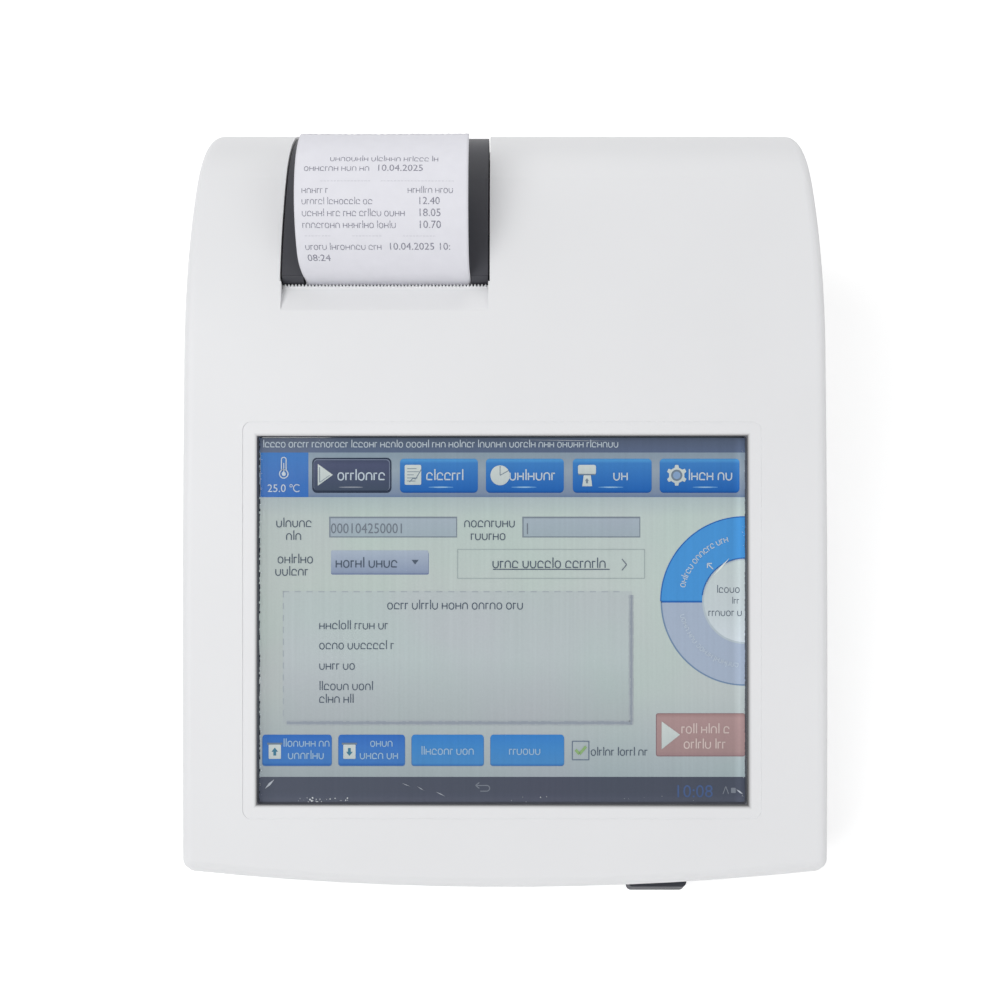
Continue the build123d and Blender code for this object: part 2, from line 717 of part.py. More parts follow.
def ramp_cut():
    start = SLOT_Y - TEAR_BAR_T - RAMP_LENGTH
    end = SLOT_Y - TEAR_BAR_T
    face = polygon(
        (start, crown_z(start, 0)),
        (end, crown_z(end, RAMP_DEPTH)),
        (end, BODY_H),
        (start, BODY_H),
    )
    return side_prism(face, LID_X)


def lid_opening():
    reach = BODY_H
    edge = radians(LID_EDGE_ANGLE)
    front = SLOT_Y - TEAR_BAR_T
    face = polygon(
        (front, crown_z(front, RAMP_DEPTH + 2 * WALL)),
        (CROWN_Y, REAR_Z),
        (CROWN_Y + reach * sin(edge), REAR_Z + reach * cos(edge)),
        (CROWN_Y + reach, 2 * BODY_H),
        (front, 2 * BODY_H),
    )
    return side_prism(face, (LID_X[0] - LID_GAP, LID_X[1] + LID_GAP))


def cover_boss(x, y):
    side = 1 if x > 0 else -1
    post = rod_z(CASE_BOSS_R, x, y, (CASE_BOSS_SPLIT_Z, CASE_BOSS_TOP_Z))
    side_rib = block(sorted((x, side * HALF_W)), about(y, RIB_T), (PARTING_Z + TONGUE_H + 1, CASE_BOSS_TOP_Z))
    end_y = HALF_D if y > 0 else -HALF_D
    end_rib = block(about(x, RIB_T), sorted((y, end_y)), (PARTING_Z + TONGUE_H + 1, CASE_BOSS_TOP_Z))
    return post + side_rib + end_rib


def rear_vents():
    slots = []
    for index in range(VENT_COUNT):
        x = REAR_VENT_X + (index - (VENT_COUNT - 1) / 2) * VENT_PITCH
        slots.append(block(about(x, VENT_W), (HALF_D - 2 * WALL, HALF_D + 1), REAR_VENT_Z))
    return slots


def upper_cover():
    solid = casing_block(0, PARTING_Z)
    rounded = [edge for edge in solid.edges() if on_outer_rim(edge)]
    solid = fillet(rounded, EDGE_R)
    cavity = casing_block(WALL, PARTING_Z - 1)
    shell = solid - cavity
    inside = casing_block(WALL / 2, CASE_BOSS_SPLIT_Z - 1)
    for x, y in case_screw_places():
        shell += cover_boss(x, y) & inside
    for x, y in tab_places():
        shell += rod_z(TAB_BOSS_R, x, y, (TAB_Z + TAB_T, BODY_H)) & inside
    for x, y in signs(LCD_BOSS_X, LCD_BOSS_Y):
        shell += screen_rod(LCD_BOSS_R, x, y, -BRACKET_DEPTH, -WALL / 2)
    shell += ramp_pad()
    shell -= ramp_cut()
    shell -= lid_opening()
    shell -= screen_plate(WINDOW_W, WINDOW_H, WINDOW_CORNER_R, -2 * WALL, 1)
    surround_w = WINDOW_W + 2 * SURROUND_BORDER
    surround_h = WINDOW_H + 2 * SURROUND_BORDER
    shell -= screen_plate(surround_w, surround_h, SURROUND_CORNER_R, -SURROUND_DEPTH, 1)
    for x, y in case_screw_places():
        shell -= rod_z(CASE_SCREW_R + FIT, x, y, (CASE_BOSS_SPLIT_Z - 1, CASE_SCREW_TOP_Z + 1))
    for x, y in tab_places():
        shell -= rod_z(TAB_SCREW_R + FIT, x, y, (TAB_Z, TAB_Z + TAB_SCREW_LENGTH + 1))
    for x, y in signs(LCD_BOSS_X, LCD_BOSS_Y):
        deep = BRACKET_DEPTH - LCD_SCREW_LENGTH
        shell -= screen_rod(LCD_SCREW_R + FIT, x, y, -BRACKET_DEPTH - 1, -deep)
    for slot in rear_vents():
        shell -= slot
    return shell


def on_outer_rim(edge):
    middle = edge.center()
    above_parting = middle.Z > PARTING_Z + 0.1
    at_side = abs(middle.X) > HALF_W - REAR_NARROWING - EDGE_R
    at_chin = abs(middle.X) < 1 and middle.Y < 1 - HALF_D + FRONT_BOW
    return above_parting and (at_side or at_chin)


def port_cuts():
    deep = (CASE_REAR_Y - 2 * WALL, HALF_D + 1)
    cuts = []
    for x in USB_X:
        usb_z = (BOARD_TOP_Z, BOARD_TOP_Z + USB_H + PORT_FIT)
        cuts.append(block(about(x, USB_W + 2 * PORT_FIT), deep, usb_z))
    network_z = (BOARD_TOP_Z, BOARD_TOP_Z + NETWORK_H + PORT_FIT)
    cuts.append(block(about(NETWORK_X, NETWORK_W + 2 * PORT_FIT), deep, network_z))
    serial_z = about(BOARD_TOP_Z + SERIAL_H / 2, SERIAL_SHELL_H + 2 * PORT_FIT)
    cuts.append(block(about(SERIAL_X, SERIAL_SHELL_W + 2 * PORT_FIT), deep, serial_z))
    inlet_z = BOARD_TOP_Z + INLET_H / 2
    cuts.append(rod_y(INLET_BORE_R + 1, INLET_X, deep, inlet_z))
    cuts.append(block(about(SWITCH_X, SWITCH_W), deep, about(SWITCH_Z, SWITCH_H)))
    return cuts


def tongue_block(inset, reach):
    z = (PARTING_Z - reach, PARTING_Z + reach)
    limit = block((-BODY_W, BODY_W), (-BODY_D, HALF_D - inset), (z[0] - 1, z[1] + 1))
    return plan_prism(inset, z) & limit


def lower_case():
    solid = case_block(0, FOOT_H)
    bottom = [edge for edge in solid.edges() if edge.center().Z < FOOT_H + 0.1]
    solid = fillet(bottom, WALL / 2)
    shell = solid - case_block(WALL, FLOOR_TOP)
    tongue_inset = WALL + TONGUE_FIT
    shell += tongue_block(tongue_inset, TONGUE_H) - tongue_block(tongue_inset + TONGUE_T, TONGUE_H + 1)
    boss_top = FOOT_H + CASE_BOSS_FLOOR
    for x, y in case_screw_places():
        shell += rod_z(CASE_BOSS_R + 1, x, y, (FOOT_H, boss_top))
        shell += rod_z(CASE_BOSS_R, x, y, (FOOT_H, CASE_BOSS_SPLIT_Z))
        shell -= rod_z(CASE_SCREW_HEAD_R + 3 * FIT, x, y, (FOOT_H - 1, CASE_SCREW_SEAT_Z))
        shell -= rod_z(CASE_SCREW_R + FIT, x, y, (FOOT_H, CASE_BOSS_SPLIT_Z + 1))
    for x, y in foot_places():
        shell -= rod_z(FOOT_STUB_R + FIT, x, y, (FOOT_H - 1, FLOOR_TOP + 1))
    mouth_y = (case_front_y(PARTING_Z, 0) - 1, case_front_y(FOOT_H, 2 * WALL))
    shell -= block(about(TRAY_X, BEZEL_W), mouth_y, BEZEL_Z)
    shell -= block(about(CHIP_SOCKET_X, CHIP_SOCKET_W), mouth_y, CHIP_SOCKET_Z)
    for cut in port_cuts():
        shell -= cut
    for index in range(VENT_COUNT):
        y = SIDE_VENT_Y + (index - (VENT_COUNT - 1) / 2) * VENT_PITCH
        shell -= block((-HALF_W - 1, HALF_W + 1), about(y, VENT_W), SIDE_VENT_Z)
    return shell


def case_screws():
    screws = []
    seat = CASE_SCREW_SEAT_Z
    for x, y in case_screw_places():
        head = rod_z(CASE_SCREW_HEAD_R, x, y, (seat - CASE_SCREW_HEAD_H, seat))
        shank = rod_z(CASE_SCREW_R, x, y, (seat - 1, CASE_SCREW_TOP_Z))
        recess = rod_z(CASE_SCREW_R / 2, x, y, (seat - CASE_SCREW_HEAD_H - 1, seat - 1))
        screws.append(head + shank - recess)
    return screws


def rubber_feet():
    feet = []
    for x, y in foot_places():
        pad = rod_z(FOOT_R, x, y, (0, FOOT_H))
        stub = rod_z(FOOT_STUB_R, x, y, (FOOT_H - 1, FOOT_H + FOOT_STUB_H))
        feet.append(pad + stub)
    return feet


# Screen

def display_gasket():
    ring = screen_plate(PANEL_W, PANEL_H, PANEL_CORNER_R, -WALL - GASKET_T, -WALL)
    hole_w = PANEL_W - 2 * GASKET_BORDER
    hole_h = PANEL_H - 2 * GASKET_BORDER
    return ring - screen_plate(hole_w, hole_h, WINDOW_CORNER_R, -2 * WALL - GASKET_T, 0)


def touch_panel():
    return screen_plate(PANEL_W, PANEL_H, PANEL_CORNER_R, -SCREEN_DEPTH, -WALL - GASKET_T)


def lcd_module():
    body = screen_plate(PANEL_W, PANEL_H, PANEL_CORNER_R, -BRACKET_DEPTH, -SCREEN_DEPTH)
    glass_w = PANEL_W - 2 * LCD_BEZEL_BORDER
    glass_h = PANEL_H - 2 * LCD_BEZEL_BORDER
    return body - screen_plate(glass_w, glass_h, WINDOW_CORNER_R, -SCREEN_DEPTH - LCD_BEZEL_T / 2, 0)


def lcd_bracket():
    plate = screen_plate(BRACKET_W, BRACKET_H, LCD_BOSS_R, -BRACKET_DEPTH - BRACKET_T, -BRACKET_DEPTH)
    hole = screen_plate(BRACKET_HOLE_W, BRACKET_HOLE_H, LCD_BOSS_R, -2 * BRACKET_DEPTH, 0)
    plate -= hole
    for x, y in signs(LCD_BOSS_X, LCD_BOSS_Y):
        plate -= screen_rod(LCD_SCREW_R + FIT, x, y, -2 * BRACKET_DEPTH, 0)
    return plate


def lcd_screws():
    screws = []
    seat = -BRACKET_DEPTH - BRACKET_T
    for x, y in signs(LCD_BOSS_X, LCD_BOSS_Y):
        head = screen_rod(LCD_SCREW_HEAD_R, x, y, seat - LCD_SCREW_HEAD_H, seat)
        shank = screen_rod(LCD_SCREW_R, x, y, seat - LCD_SCREW_HEAD_H / 2, seat + LCD_SCREW_LENGTH)
        screws.append(head + shank)
    return screws


# Printer lid and slot

def lid_panel():
    outside = side_prism(side_profile(LID_RECESS, PARTING_Z), LID_X)
    inside = side_prism(side_profile(LID_RECESS + LID_T, FOOT_H), (LID_X[0] - 1, LID_X[1] + 1))
    hinge = radians(LID_HINGE_ANGLE)
    reach = BODY_H
    keep = polygon(
        (LID_FRONT_Y, REAR_Z),
        (CROWN_Y, REAR_Z),
        (CROWN_Y + reach * sin(hinge), REAR_Z + reach * cos(hinge)),
        (CROWN_Y + reach, 2 * BODY_H),
        (LID_FRONT_Y, 2 * BODY_H),
    )
    return (outside - inside) & side_prism(keep, LID_X)


def platen_ear(x):
    ear = rod_x(EAR_R, x, PLATEN_Y, PLATEN_Z)
    top = crown_z(PLATEN_Y, LID_RECESS + LID_T / 2)
    ear += block(x, (PLATEN_Y - EAR_R / 2, PLATEN_Y + EAR_R), (PLATEN_Z, top))
    return ear - rod_x(BUSHING_R, x, PLATEN_Y, PLATEN_Z)


def printer_lid():
    lid = lid_panel()
    lid += rod_x(LID_BARREL_R, LID_X, HINGE_Y, HINGE_Z)
    right = (PRINTER_X + EAR_INSIDE_X, PRINTER_X + EAR_INSIDE_X + EAR_T)
    left = (PRINTER_X - EAR_INSIDE_X - EAR_T, PRINTER_X - EAR_INSIDE_X)
    for x in (left, right):
        lid += platen_ear(x)
    return lid - rod_x(LID_PIN_R + RUNNING_FIT, (LID_X[0] - 1, LID_X[1] + 1), HINGE_Y, HINGE_Z)


def lid_hinge_pin():
    end = FRAME_OUTER_X + FRAME_WALL_T
    return rod_x(LID_PIN_R, about(PRINTER_X, 2 * end), HINGE_Y, HINGE_Z)


def tear_bar():
    top = crown_z(SLOT_Y - TEAR_BAR_T, RAMP_DEPTH) + TOOTH_REACH
    y = (SLOT_Y - TEAR_BAR_T, SLOT_Y)
    bar = block(LID_X, y, (top - TEAR_BAR_H, top))
    count = int(LID_W / TOOTH_PITCH)
    start = PRINTER_X - count * TOOTH_PITCH / 2
    points = [(start, top - TOOTH_H)]
    for index in range(count):
        left = start + index * TOOTH_PITCH
        points.append((left, top))
        points.append((left + TOOTH_PITCH / 2, top + TOOTH_H))
    points.append((start + count * TOOTH_PITCH, top))
    points.append((start + count * TOOTH_PITCH, top - TOOTH_H))
    comb = extrude(Plane.XZ.offset(-y[1]) * polygon(*points), amount=TEAR_BAR_T)
    return bar + comb


# Printer frame

def web_angle():
    reach = hypot(PLATEN_Y - ROLL_Y, PLATEN_Z - ROLL_Z)
    toward_platen = atan2(PLATEN_Z - ROLL_Z, PLATEN_Y - ROLL_Y)
    return toward_platen + acos((WEB_ROLL_R - WEB_PLATEN_R) / reach)


def on_circle(y, z, radius, angle):
    return (y + radius * cos(angle), z + radius * sin(angle))


def bucket_face():
    middle_r = BUCKET_R + BUCKET_T / 2
    angle = web_angle()
    foot = on_circle(BUCKET_Y, BUCKET_Z, middle_r, angle)
    top = (foot[0] + BUCKET_FRONT_L * sin(angle), foot[1] - BUCKET_FRONT_L * cos(angle))
    low = on_circle(BUCKET_Y, BUCKET_Z, middle_r, (angle + 2 * pi) / 2)
    back = (BUCKET_Y + middle_r, BUCKET_Z)
    path = Line(top, foot)
    path += ThreePointArc(foot, low, back)
    path += Line(back, (back[0], back[1] + BUCKET_BACK_H))
    return trace(path, BUCKET_T)


def guide_face():
    low = FRAME_LOW_Z
    below = PLATEN_Z - EAR_R - EAR_ROOM_BELOW
    ahead = PLATEN_Y - EAR_R - EAR_ROOM_AHEAD
    behind = PLATEN_Y + EAR_R + EAR_ROOM_BEHIND
    return polygon(
        (FRAME_FRONT_Y, low),
        (GUIDE_REAR_Y, low),
        (GUIDE_REAR_Y, GUIDE_TOP_Z - GUIDE_CORNER),
        (GUIDE_REAR_Y - GUIDE_CORNER, GUIDE_TOP_Z),
        (behind + EAR_LEAD_BEHIND, GUIDE_TOP_Z),
        (behind, below),
        (ahead, below),
        (ahead - EAR_LEAD_AHEAD, SPRING_WALL_TOP_Z),
        (FRAME_FRONT_Y, SPRING_WALL_TOP_Z),
    )


def frame_side_face():
    face = side_profile(WALL + FRAME_COVER_GAP, FOOT_H)
    return face & polygon(
        (FRAME_SIDE_Y, FRAME_LOW_Z),
        (FRAME_REAR_Y, FRAME_LOW_Z),
        (FRAME_REAR_Y, BODY_H),
        (FRAME_SIDE_Y, BODY_H),
    )


def beside_printer(near, far):
    return [(PRINTER_X - far, PRINTER_X - near), (PRINTER_X + near, PRINTER_X + far)]


def head_pivot():
    return along_path(-HEAD_PIVOT_DOWN, -HEAD_BOARD_T - HEAT_SINK_T / 2)


def idler_place():
    arm_y = PLATEN_Y - HINGE_Y
    arm_z = PLATEN_Z - HINGE_Z
    reach = FINE_MODULE * (PLATEN_TEETH + IDLER_TEETH) / 2 + CENTRE_SLACK
    arm = hypot(arm_y, arm_z)
    return (PLATEN_Y - reach * arm_z / arm, PLATEN_Z + reach * arm_y / arm)


def printer_motor_place():
    y, z = idler_place()
    return (y, z - FINE_MODULE * (IDLER_TEETH + PRINTER_PINION_TEETH) / 2 - CENTRE_SLACK)


def spring_seat_offset():
    return -HEAD_BOARD_T - HEAT_SINK_T - SPRING_GAP - SPRING_LENGTH


def printer_frame():
    frame = side_prism(bucket_face(), about(PRINTER_X, 2 * GUIDE_X + GUIDE_T))
    for x in beside_printer(GUIDE_X, GUIDE_X + GUIDE_T):
        frame += side_prism(guide_face(), x)
    for x in beside_printer(FRAME_OUTER_X, FRAME_OUTER_X + FRAME_WALL_T):
        frame += side_prism(frame_side_face(), x)
    floor_x = about(PRINTER_X, 2 * FRAME_OUTER_X + FRAME_WALL_T)
    floor_z = (FRAME_LOW_Z, FRAME_LOW_Z + FRAME_FLOOR_T)
    frame += block(floor_x, (FRAME_SIDE_Y, GUIDE_REAR_Y + RAMP_DEPTH), floor_z)
    seat = spring_seat_offset()
    seat_x = about(PRINTER_X, 2 * GUIDE_X + GUIDE_T)
    frame += path_plate(-SPRING_SEAT_LOW, -SPRING_SEAT_HIGH, seat - SPRING_SEAT_T, seat, seat_x)
    for x, y in tab_places():
        tab_x = about(x, TAB_REACH + 1)
        frame += block(tab_x, (y - TAB_HALF, y + TAB_HALF), (TAB_Z, TAB_Z + TAB_T))
        frame -= rod_z(TAB_SCREW_R + FIT, x, y, (TAB_Z - 1, TAB_Z + TAB_T + 1))
    pivot = head_pivot()
    frame -= rod_x(HEAD_PIVOT_R + RUNNING_FIT, about(PRINTER_X, BODY_W), *pivot)
    frame -= rod_x(LID_PIN_R + RUNNING_FIT, about(PRINTER_X, BODY_W), HINGE_Y, HINGE_Z)
    idler = idler_place()
    pin_end = PRINTER_X + GEAR_X + GEAR_W
    frame += rod_x(IDLER_PIN_R + 1, (PRINTER_X + GUIDE_X, PRINTER_X + GEAR_X - FIT), *idler)
    frame += rod_x(IDLER_PIN_R, (PRINTER_X + GUIDE_X, pin_end), *idler)
    shaft_hole = (PRINTER_X + GUIDE_X - 1, PRINTER_X + GEAR_X)
    frame -= rod_x(MOTOR_SHAFT_R + FIT, shaft_hole, *printer_motor_place())
    return frame


def printer_screws():
    screws = []
    for x, y in tab_places():
        head = rod_z(TAB_SCREW_R * 2, x, y, (TAB_Z - TAB_SCREW_R, TAB_Z))
        shank = rod_z(TAB_SCREW_R, x, y, (TAB_Z - TAB_SCREW_R / 2, TAB_Z + TAB_SCREW_LENGTH))
        screws.append(head + shank)
    return screws


def thermal_head():
    x = about(PRINTER_X, HEAD_W)
    board = path_plate(-HEAD_BOARD_LOW, HEAD_BOARD_HIGH, -HEAD_BOARD_T, 0, x)
    glaze_x = about(PRINTER_X, HEAD_W - 2)
    glaze = path_plate(-HEATER_LINE_H, HEATER_LINE_H, -HEAD_BOARD_T, HEATER_LINE_T, glaze_x)
    return board + glaze


def head_heat_sink():
    x = about(PRINTER_X, HEAD_W)
    back = -HEAD_BOARD_T - HEAT_SINK_T
    plate = path_plate(-HEAD_BOARD_LOW - 1, HEAD_BOARD_HIGH, back, -HEAD_BOARD_T, x)
    pivot = head_pivot()
    plate += rod_x(HEAD_PIVOT_R + HEAD_KNUCKLE_T, x, *pivot)
    neck = HEAD_PIVOT_R
    middle = -HEAD_BOARD_T - HEAT_SINK_T / 2
    plate += path_plate(-HEAD_PIVOT_DOWN, -HEAD_BOARD_LOW, middle - neck, middle + neck, x)
    plate -= rod_x(HEAD_PIVOT_R + RUNNING_FIT, about(PRINTER_X, BODY_W), *pivot)
    grooves = int(HEAD_BOARD_LOW / HEAD_FIN_PITCH)
    for index in range(grooves):
        low = index * HEAD_FIN_PITCH - HEAD_BOARD_LOW
        groove = (back - 1, back + HEAD_FIN_DEEP)
        for side in (-1, 1):
            middle_x = PRINTER_X + side * (SPRING_X + HEAD_W / 2) / 2
            groove_x = about(middle_x, HEAD_W / 2 - SPRING_X - 2 * SPRING_R)
            plate -= path_plate(low, low + HEAD_FIN_T, *groove, groove_x)
    return plate


def head_pivot_pin():
    return rod_x(HEAD_PIVOT_R, about(PRINTER_X, 2 * (GUIDE_X + GUIDE_T)), *head_pivot())


def head_springs():
    springs = []
    seat_y, seat_z = along_path(-SPRING_DOWN, spring_seat_offset() + SPRING_WIRE_R)
    length = SPRING_LENGTH - 2 * SPRING_WIRE_R
    for side in (-1, 1):
        base = Plane(
            origin=(PRINTER_X + side * SPRING_X, seat_y, seat_z),
            x_dir=(1, 0, 0),
            z_dir=(0, ACROSS[0], ACROSS[1]),
        )
        coil = Helix(length / SPRING_TURNS, length, SPRING_R)
        section = Plane(origin=coil @ 0, z_dir=coil % 0) * Circle(SPRING_WIRE_R)
        springs.append(base.location * sweep(section, path=coil))
    return springs


def printer_motor():
    y, z = printer_motor_place()
    face_x = PRINTER_X + GUIDE_X
    can = rod_x(MOTOR_R, (face_x - MOTOR_LENGTH, face_x), y, z)
    can += block((face_x - MOTOR_EAR_T, face_x), about(y, 2 * (MOTOR_R + MOTOR_EAR)), about(z, MOTOR_R))
    return can - rod_x(MOTOR_SHAFT_R + FIT, (face_x - MOTOR_SHAFT_DEEP - 1, face_x + 1), y, z)


def printer_motor_pinion():
    y, z = printer_motor_place()
    x = (PRINTER_X + GEAR_X, PRINTER_X + GEAR_X + GEAR_W)
    phase = pi / 2 + pi / PRINTER_PINION_TEETH
    pinion = gear_sideways(FINE_MODULE, PRINTER_PINION_TEETH, y, z, x, phase, MOTOR_SHAFT_R / 2)
    return pinion + rod_x(MOTOR_SHAFT_R, (PRINTER_X + GUIDE_X - MOTOR_SHAFT_DEEP, x[1]), y, z)


def idler_gear():
    y, z = idler_place()
    x = (PRINTER_X + GEAR_X, PRINTER_X + GEAR_X + GEAR_W)
    return gear_sideways(FINE_MODULE, IDLER_TEETH, y, z, x, -pi / 2, IDLER_PIN_R + RUNNING_FIT)


def platen_gear():
    idler = idler_place()
    x = (PRINTER_X + GEAR_X, PRINTER_X + GEAR_X + GEAR_W)
    toward_platen = atan2(PLATEN_Z - idler[1], PLATEN_Y - idler[0])
    idler_step = 2 * pi / IDLER_TEETH
    offset = (toward_platen + pi / 2) % idler_step
    platen_offset = offset * IDLER_TEETH / PLATEN_TEETH
    phase = toward_platen + pi + pi / PLATEN_TEETH + platen_offset
    return gear_sideways(FINE_MODULE, PLATEN_TEETH, PLATEN_Y, PLATEN_Z, x, phase, PLATEN_SHAFT_R + FIT / 2)


def platen_roller():
    x = about(PRINTER_X, PLATEN_W)
    rubber = rod_x(PLATEN_R, x, PLATEN_Y, PLATEN_Z)
    return rubber - rod_x(PLATEN_SHAFT_R + FIT / 2, x, PLATEN_Y, PLATEN_Z)


def platen_shaft():
    x = (PRINTER_X - EAR_INSIDE_X - EAR_T, PRINTER_X + GEAR_X + GEAR_W)
    return rod_x(PLATEN_SHAFT_R, x, PLATEN_Y, PLATEN_Z)


def platen_bushings():
    bushings = []
    for x in beside_printer(EAR_INSIDE_X, EAR_INSIDE_X + EAR_T):
        ring = rod_x(BUSHING_R - FIT / 2, x, PLATEN_Y, PLATEN_Z)
        bushings.append(ring - rod_x(PLATEN_SHAFT_R + RUNNING_FIT, x, PLATEN_Y, PLATEN_Z))
    return bushings


# Paper

def paper_roll():
    x = about(PRINTER_X, PAPER_W)
    return rod_x(ROLL_R, x, ROLL_Y, ROLL_Z) - rod_x(CORE_R + FIT / 2, x, ROLL_Y, ROLL_Z)


def paper_core():
    x = about(PRINTER_X, PAPER_W)
    return rod_x(CORE_R, x, ROLL_Y, ROLL_Z) - rod_x(CORE_BORE_R, x, ROLL_Y, ROLL_Z)


def paper_web():
    angle = web_angle()
    nip = pi - radians(PATH_LEAN_DEG)
    start = on_circle(ROLL_Y, ROLL_Z, WEB_ROLL_R, angle)
    meet = on_circle(PLATEN_Y, PLATEN_Z, WEB_PLATEN_R, angle)
    middle = on_circle(PLATEN_Y, PLATEN_Z, WEB_PLATEN_R, (angle + nip) / 2)
    end = on_circle(PLATEN_Y, PLATEN_Z, WEB_PLATEN_R, nip)
    path = Line(start, meet) + ThreePointArc(meet, middle, end)
    return side_prism(trace(path, PAPER_T), about(PRINTER_X, PAPER_W))


def paper_strip():
    start = along_path(PAPER_T * 2, NIP_GAP / 2)
    turn = along_path(CURL_START, NIP_GAP / 2)
    centre = along_path(CURL_START, NIP_GAP / 2 + CURL_R)
    first = pi - radians(PATH_LEAN_DEG)
    last = first - radians(CURL_SWEEP_DEG)
    middle = on_circle(*centre, CURL_R, (first + last) / 2)
    end = on_circle(*centre, CURL_R, last)
    path = Line(start, turn) + ThreePointArc(turn, middle, end)
    return side_prism(trace(path, PAPER_T), about(PRINTER_X, PAPER_W))


# Cartridge transport

def tray():
    plate_z = (TRAY_LOW_Z, TRAY_TOP_Z)
    plate = block(about(TRAY_X, TRAY_W), (NOSE_TIP_Y + NOSE_LENGTH, TRAY_REAR_Y), plate_z)
    nose_z = (TRAY_LOW_Z - NOSE_LIP_DOWN, TRAY_TOP_Z + NOSE_LIP_UP)
    nose = block(about(TRAY_X, NOSE_W), (NOSE_TIP_Y, NOSE_TIP_Y + NOSE_LENGTH), nose_z)
    corners = [edge for edge in nose.edges().filter_by(Axis.Z) if edge.center().Y < NOSE_TIP_Y + 1]
    plate += fillet(corners, NOSE_CORNER_R)
    pocket_front = NOSE_TIP_Y + NOSE_LENGTH + POCKET_FRONT_WALL
    pocket_y = (pocket_front, pocket_front + POCKET_LENGTH)
    plate -= block(about(TRAY_X, POCKET_W), pocket_y, (TRAY_TOP_Z - POCKET_DEPTH, TRAY_TOP_Z + 1))
    for front in (SHOE_FRONT_Y, SHOE_REAR_Y):
        shoe_z = (SHOE_LOW_Z, TRAY_LOW_Z)
        plate += block(about(TRAY_X, 2 * SHOE_HALF_W), (front, front + SHOE_L), shoe_z)
    for side in (-1, 1):
        hole_y = (SHOE_FRONT_Y - 1, SHOE_REAR_Y + SHOE_L + 1)
        plate -= rod_y(ROD_R + RUNNING_FIT, TRAY_X + side * ROD_X, hole_y, ROD_Z)
    flag_x = (TRAY_X - TRAY_W / 2 - FLAG_REACH, TRAY_X - TRAY_W / 2 + 1)
    plate += block(flag_x, about(SENSOR_HOME_Y, FLAG_L), about(FLAG_Z, FLAG_T))
    return plate


def tray_rack():
    left = TRAY_X + TRAY_W / 2
    root = RACK_PITCH_X - DEDENDUM * MODULE
    bar = polygon((left, RACK_FRONT_Y), (root, RACK_FRONT_Y), (root, RACK_REAR_Y), (left, RACK_REAR_Y))
    half = (pi * MODULE / 2 - BACKLASH) / 2
    spread = tan(radians(PRESSURE_DEG)) * MODULE
    tip = RACK_PITCH_X + ADDENDUM * MODULE
    pitch = pi * MODULE
    first = ceil((RACK_FRONT_Y - RACK_PINION_Y) / pitch)
    last = int((RACK_REAR_Y - RACK_PINION_Y) / pitch) - 1
    for index in range(first, last + 1):
        y = RACK_PINION_Y + (index + 0.5) * pitch
        low = half + DEDENDUM * spread
        high = half - ADDENDUM * spread
        bar += polygon((root - 0.1, y - low), (tip, y - high), (tip, y + high), (root - 0.1, y + low))
    z = (TRAY_LOW_Z, TRAY_TOP_Z)
    return extrude(Plane.XY.offset(z[0]) * bar, amount=z[1] - z[0])


def guide_rods():
    y = (BASE_FRONT_Y, ROD_BLOCK_REAR_Y + ROD_BLOCK_T)
    return [rod_y(ROD_R, TRAY_X + side * ROD_X, y, ROD_Z) for side in (-1, 1)]


def transport_base():
    y = (BASE_FRONT_Y, BASE_REAR_Y)
    base = block(BASE_X, y, (FLOOR_TOP, BASE_TOP_Z))
    for wall_x in ((BASE_X[0], BASE_X[0] + BASE_WALL_T), (BASE_X[1] - BASE_WALL_T, BASE_X[1])):
        base += block(wall_x, y, (FLOOR_TOP, COVER_LOW_Z))
    for front in (BASE_FRONT_Y, ROD_BLOCK_REAR_Y):
        base += block(BASE_X, (front, front + ROD_BLOCK_T), (FLOOR_TOP, ROD_BLOCK_TOP_Z))
    for side in (-1, 1):
        hole_y = (BASE_FRONT_Y - 1, ROD_BLOCK_REAR_Y + ROD_BLOCK_T + 1)
        base -= rod_y(ROD_R + FIT / 2, TRAY_X + side * ROD_X, hole_y, ROD_Z)
    post_top = GEAR_LOW_Z - RACK_GEAR_GAP
    base += rod_z(2 * PINION_PIN_R, RACK_PINION_X, RACK_PINION_Y, (FLOOR_TOP, post_top))
    base += rod_z(PINION_PIN_R, RACK_PINION_X, RACK_PINION_Y, (FLOOR_TOP, GEAR_HIGH_Z + 1))
    return base


def transport_cover():
    cover = block(BASE_X, (BASE_FRONT_Y, BASE_REAR_Y), (COVER_LOW_Z, COVER_TOP_Z))
    return cover - rod_z(CHANNEL_R, TRAY_X, LENS_Y, (COVER_LOW_Z - 1, COVER_TOP_Z + 1))


def rack_pinion():
    z = (GEAR_LOW_Z, GEAR_HIGH_Z)
    bore = PINION_PIN_R + RUNNING_FIT
    return gear_upright(MODULE, RACK_PINION_TEETH, RACK_PINION_X, RACK_PINION_Y, z, pi, bore)


def tray_motor():
    z = (BASE_TOP_Z, BASE_TOP_Z + TRAY_MOTOR_LENGTH)
    can = rod_z(TRAY_MOTOR_R, RACK_PINION_X, TRAY_PINION_Y, z)
    ear_y = about(TRAY_PINION_Y, 2 * (TRAY_MOTOR_R + TRAY_MOTOR_EAR))
    can += block(about(RACK_PINION_X, TRAY_MOTOR_R), ear_y, (z[1] - MOTOR_EAR_T, z[1]))
    hole_z = (z[1] - MOTOR_SHAFT_DEEP - 1, z[1] + 1)
    return can - rod_z(TRAY_MOTOR_SHAFT_R + FIT, RACK_PINION_X, TRAY_PINION_Y, hole_z)


